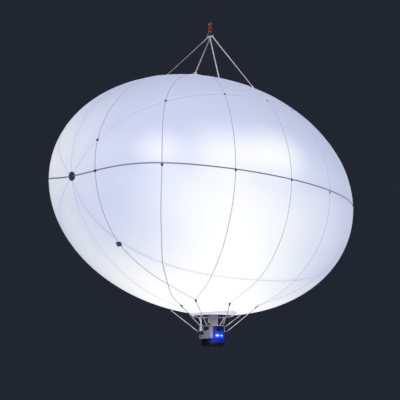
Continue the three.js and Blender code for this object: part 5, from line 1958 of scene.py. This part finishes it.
DOOR_SCREWS = ((-0.092, -2.000), (0.092, -2.068), (-0.030, -2.148), (0.092, -2.148), (0.030, -2.148))
door_points = []
face_way = (box_frame.to_3x3() @ Vector((0, -1, 0))).normalized()
for across, height in DOOR_SCREWS:
    door_points.append((box_frame @ Vector((across, -BOX_FACE - 0.001, height)), face_way))
fastened("door_screws", door_points, 0.0034, 0.005, 12, bright_steel, "steel")
turned_piece("door_lock", (
    (0, 0), (0.012, 0), (0.012, 0.003), (0.009, 0.004), (0.0085, 0.012), (0.007, 0.014), (0, 0.014),
), tipped(box_frame, (-0.083, -BOX_FACE, -2.140)), 32, black_moulding, "black_plastic")

# Sockets: two panel sockets of dark moulded plastic on the box's door, each with a screwed flange
# and a hinged spring lid that keeps the rain out.
SOCKETS = (
    # across the box, width, height, middle
    (0.014, 0.040, 0.056, -2.020),
    (0.062, 0.024, 0.044, -2.014),
)
SOCKET_DEEP = 0.026
SOCKET_FLANGE = 0.005
SOCKET_LID = 0.006
SOCKET_INSET = 0.004
SCREW_INSET = 0.0022
socket_moulding = moulded("socket_moulding", (0.008, 0.013, 0.026), 0.45)
socket_points = []
for number, (across, wide, tall, middle) in enumerate(SOCKETS, 1):
    socket_mesh = bmesh.new()
    left, right = across - wide / 2, across + wide / 2
    foot, top = middle - tall / 2, middle + tall / 2
    flange_y, body_y = -BOX_FACE - SOCKET_FLANGE, -BOX_FACE - SOCKET_DEEP + SOCKET_LID
    block(socket_mesh, (left, flange_y, foot), (right, -BOX_FACE - CLEARANCE, top), box_frame)
    low = (left + SOCKET_INSET, body_y, foot + SOCKET_INSET)
    block(socket_mesh, low, (right - SOCKET_INSET, flange_y, top - SOCKET_INSET), box_frame)
    low = (left + 0.002, -BOX_FACE - SOCKET_DEEP, foot + 0.001)
    block(socket_mesh, low, (right - 0.002, body_y - 0.0008, top - 0.006), box_frame)
    pin_way = tipped(box_frame, (across, body_y - 0.001, top - 0.005), "Y")
    reach = wide / 2 - 0.003
    drum(socket_mesh, 0.0032, -reach, reach, pin_way, 16)
    name, node = f"lidded_socket_{number}", f"socket_{number}"
    fitted(name, socket_mesh, socket_moulding, "black_plastic", node, edges=0.0012)
    for x in (left + SCREW_INSET, right - SCREW_INSET):
        for z in (foot + SCREW_INSET, top - SCREW_INSET):
            socket_points.append((box_frame @ Vector((x, flange_y, z)), face_way))
fastened("socket_screws", socket_points, 0.0014, 0.0016, 10, bright_steel, "steel")

# Conduit gland: a black elbow fitting in the door, with a hexagon against the sheet, a ribbed cap
# and a short upright spigot that grips the conduit.
GLAND_ACROSS = -0.044
GLAND_Z = -2.082
GLAND_RADIUS = 0.029
GLAND_OUT = 0.062
gland_way = tipped(box_frame, (GLAND_ACROSS, -BOX_FACE, GLAND_Z))
gland_mesh = bmesh.new()
drum(gland_mesh, GLAND_RADIUS, CLEARANCE, 0.009, gland_way, 6)
lathe(gland_mesh, (
    (0, 0.009), (0.0245, 0.009), (0.0245, 0.014), (0.0285, 0.017), (0.0285, 0.050),
    (0.025, 0.056), (0.016, GLAND_OUT - 0.001), (0, GLAND_OUT),
), gland_way, 40)
fitted("elbow_gland", gland_mesh, black_moulding, "black_plastic", "conduit_gland", edges=0.0012)
grip_places = round_places(24, 0.0286, 0.033, 0, 0, gland_way)
fastened("gland_grips", grip_places, 0.0022, 0.002, 8, black_moulding, "black_plastic")

# Conduit: pale grey corrugated plastic hose that carries the lamp leads from the gland up to the
# plate, with a white sleeve over its lower end and a threaded nut at its top.
CONDUIT_OUT = 0.0372
CONDUIT_FOOT = -2.0526
CONDUIT_RADIUS = 0.0125
CONDUIT_TOP = PLATE_FOOT - 0.0006
RIB_PITCH = 0.0055
RIB_ROOT = CONDUIT_RADIUS - 0.0022
SLEEVE_TALL = 0.052
conduit_place = box_frame @ Vector((GLAND_ACROSS, -BOX_FACE - CONDUIT_OUT, 0))
upright = Matrix.Translation((conduit_place.x, conduit_place.y, centre_z))
hose_profile = [(0, CONDUIT_FOOT)]
height = CONDUIT_FOOT
while height < CONDUIT_TOP - RIB_PITCH:
    hose_profile.append((RIB_ROOT, height))
    hose_profile.append((CONDUIT_RADIUS, height + RIB_PITCH * 0.3))
    hose_profile.append((CONDUIT_RADIUS, height + RIB_PITCH * 0.65))
    height += RIB_PITCH
hose_profile += [(RIB_ROOT, height), (RIB_ROOT, CONDUIT_TOP), (0, CONDUIT_TOP)]
hose_plastic = moulded("hose_plastic", (0.82, 0.81, 0.87), 0.45)
turned_piece(
    "ribbed_hose", hose_profile, upright, 24, hose_plastic, "conduit_grey", "conduit", sharp=60,
)
cuff_mesh = bmesh.new()
cuff_top = CONDUIT_FOOT + SLEEVE_TALL
cuff_foot, cuff_radius = CONDUIT_FOOT + 0.0005, CONDUIT_RADIUS + 0.003
lathe(cuff_mesh, (
    (0, cuff_foot), (cuff_radius, cuff_foot), (cuff_radius, cuff_top - 0.003),
    (cuff_radius - 0.002, cuff_top), (0, cuff_top),
), upright, 32)
lathe(cuff_mesh, (
    (0, CONDUIT_TOP - 0.014), (0.0185, CONDUIT_TOP - 0.014), (0.0185, CONDUIT_TOP - 0.003),
    (0.0215, CONDUIT_TOP - 0.003), (0.0215, CONDUIT_TOP), (0, CONDUIT_TOP),
), upright, 6)
cuff_plastic = moulded("cuff_plastic", (0.85, 0.85, 0.88), 0.4)
fitted("hose_cuffs", cuff_mesh, cuff_plastic, "conduit_grey", "conduit", edges=0.001)

# Stays: eight laid ropes of three pale polyester strands, from a dark sewn tab on the envelope to
# an ear of the crown plate. Each ends in a whipped eye with a steel snap hook at the ear.
STAY_STRAND = 0.0034
STAY_HELIX = 0.0033
STAY_LAY = 0.042
STRAND_SIDES = 6
TAB_THICK = 0.004
TAB_RISE = 0.013
TAB_SHAPE = ((-0.030, 0.0022), (-0.012, 0.0032), (0.0, 0.0075), (0.010, 0.0125), (0.022, 0.0145))
EAR_REACH = 0.2144
HOOK_LONG = 0.046
ADJUSTERS = (0.37, 0.49)
rope_material = coated_fabric("laid_rope", (0.80, 0.78, 0.80), 0.75)
# The tabs' and whippings' faint blue glow is painted light.
tab_cloth_painted_glow = woven_material("tab_webbing_painted_glow", (0.008, 0.007, 0.04), (0.006, 0.004, 0.04), 700, 0.0)


def laid_rope(mesh, start, end):
    """Three strands twisted round each other between two points."""
    along = (end - start).normalized()
    first = along.orthogonal().normalized()
    second = along.cross(first)
    length = (end - start).length
    steps = max(8, round(length / STAY_LAY * 8))
    for strand in range(3):
        path = []
        for step in range(steps + 1):
            run = length * step / steps
            turn = 2 * pi * (run / STAY_LAY + strand / 3)
            path.append(start + along * run + (first * cos(turn) + second * sin(turn)) * STAY_HELIX)
        bar(mesh, path, STAY_STRAND, STRAND_SIDES)


def turned_along(start, way):
    """A frame at a point with its Z along a direction."""
    return Matrix.Translation(start) @ way.to_track_quat("Z", "Y").to_matrix().to_4x4()


for number, (azimuth, latitude, direction, height) in enumerate(stay_ears, 1):
    node = f"stay_{number}"
    seat = sphere_point(latitude, azimuth)
    normal = envelope_normal(seat)
    start = seat + normal * TAB_RISE
    end = direction * EAR_REACH + Vector((0, 0, centre_z + height))
    along = (end - start).normalized()
    over = (along - normal * along.dot(normal)).normalized()
    rope_mesh = bmesh.new()
    laid_rope(rope_mesh, start + along * 0.010, end - along * HOOK_LONG * 0.7)
    fitted(f"laid_stay_{number}", rope_mesh, rope_material, "webbing", node, sharp=70)
    tab_mesh = bmesh.new()
    side = normal.cross(over).normalized()
    tab_path = [seat + over * place + normal * rise for place, rise in TAB_SHAPE]
    strap(tab_mesh, tab_path, [side] * len(tab_path), 0.030, TAB_THICK)
    fitted(f"sewn_tab_{number}", tab_mesh, tab_cloth_painted_glow, "webbing", node, edges=0.001)
    hook_mesh = bmesh.new()
    hook_frame = turned_along(end - along * HOOK_LONG, along)
    barrel = ((0, 0), (0.0085, 0.001), (0.0085, 0.012), (0.006, 0.015), (0, 0.015))
    lathe(hook_mesh, barrel, hook_frame, 20)
    up = (Z_WAY - along * along.z).normalized()
    loop_centre = end - along * 0.013
    hook_ring = circle(loop_centre, along * 1.55, up, 0.0095, 24)
    bar(hook_mesh, hook_ring, 0.0026, 10, closed=True)
    fitted(f"snap_hook_{number}", hook_mesh, bright_steel, "steel", node)
    whip_mesh = bmesh.new()
    whips = [(0.012, 0.030, 0.0085)]
    if number % 4 == 1:
        reach = (end - start).length
        whips += [(reach * share - 0.013, 0.026, 0.0125) for share in ADJUSTERS]
    for place, long, wide in whips:
        wrap = turned_along(start + along * place, along)
        lathe(whip_mesh, (
            (0, 0), (wide - 0.001, 0), (wide, 0.002), (wide, long - 0.002),
            (wide - 0.001, long), (0, long),
        ), wrap, 16)
    fitted(f"stay_whipping_{number}", whip_mesh, tab_cloth_painted_glow, "webbing", node)

low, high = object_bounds()
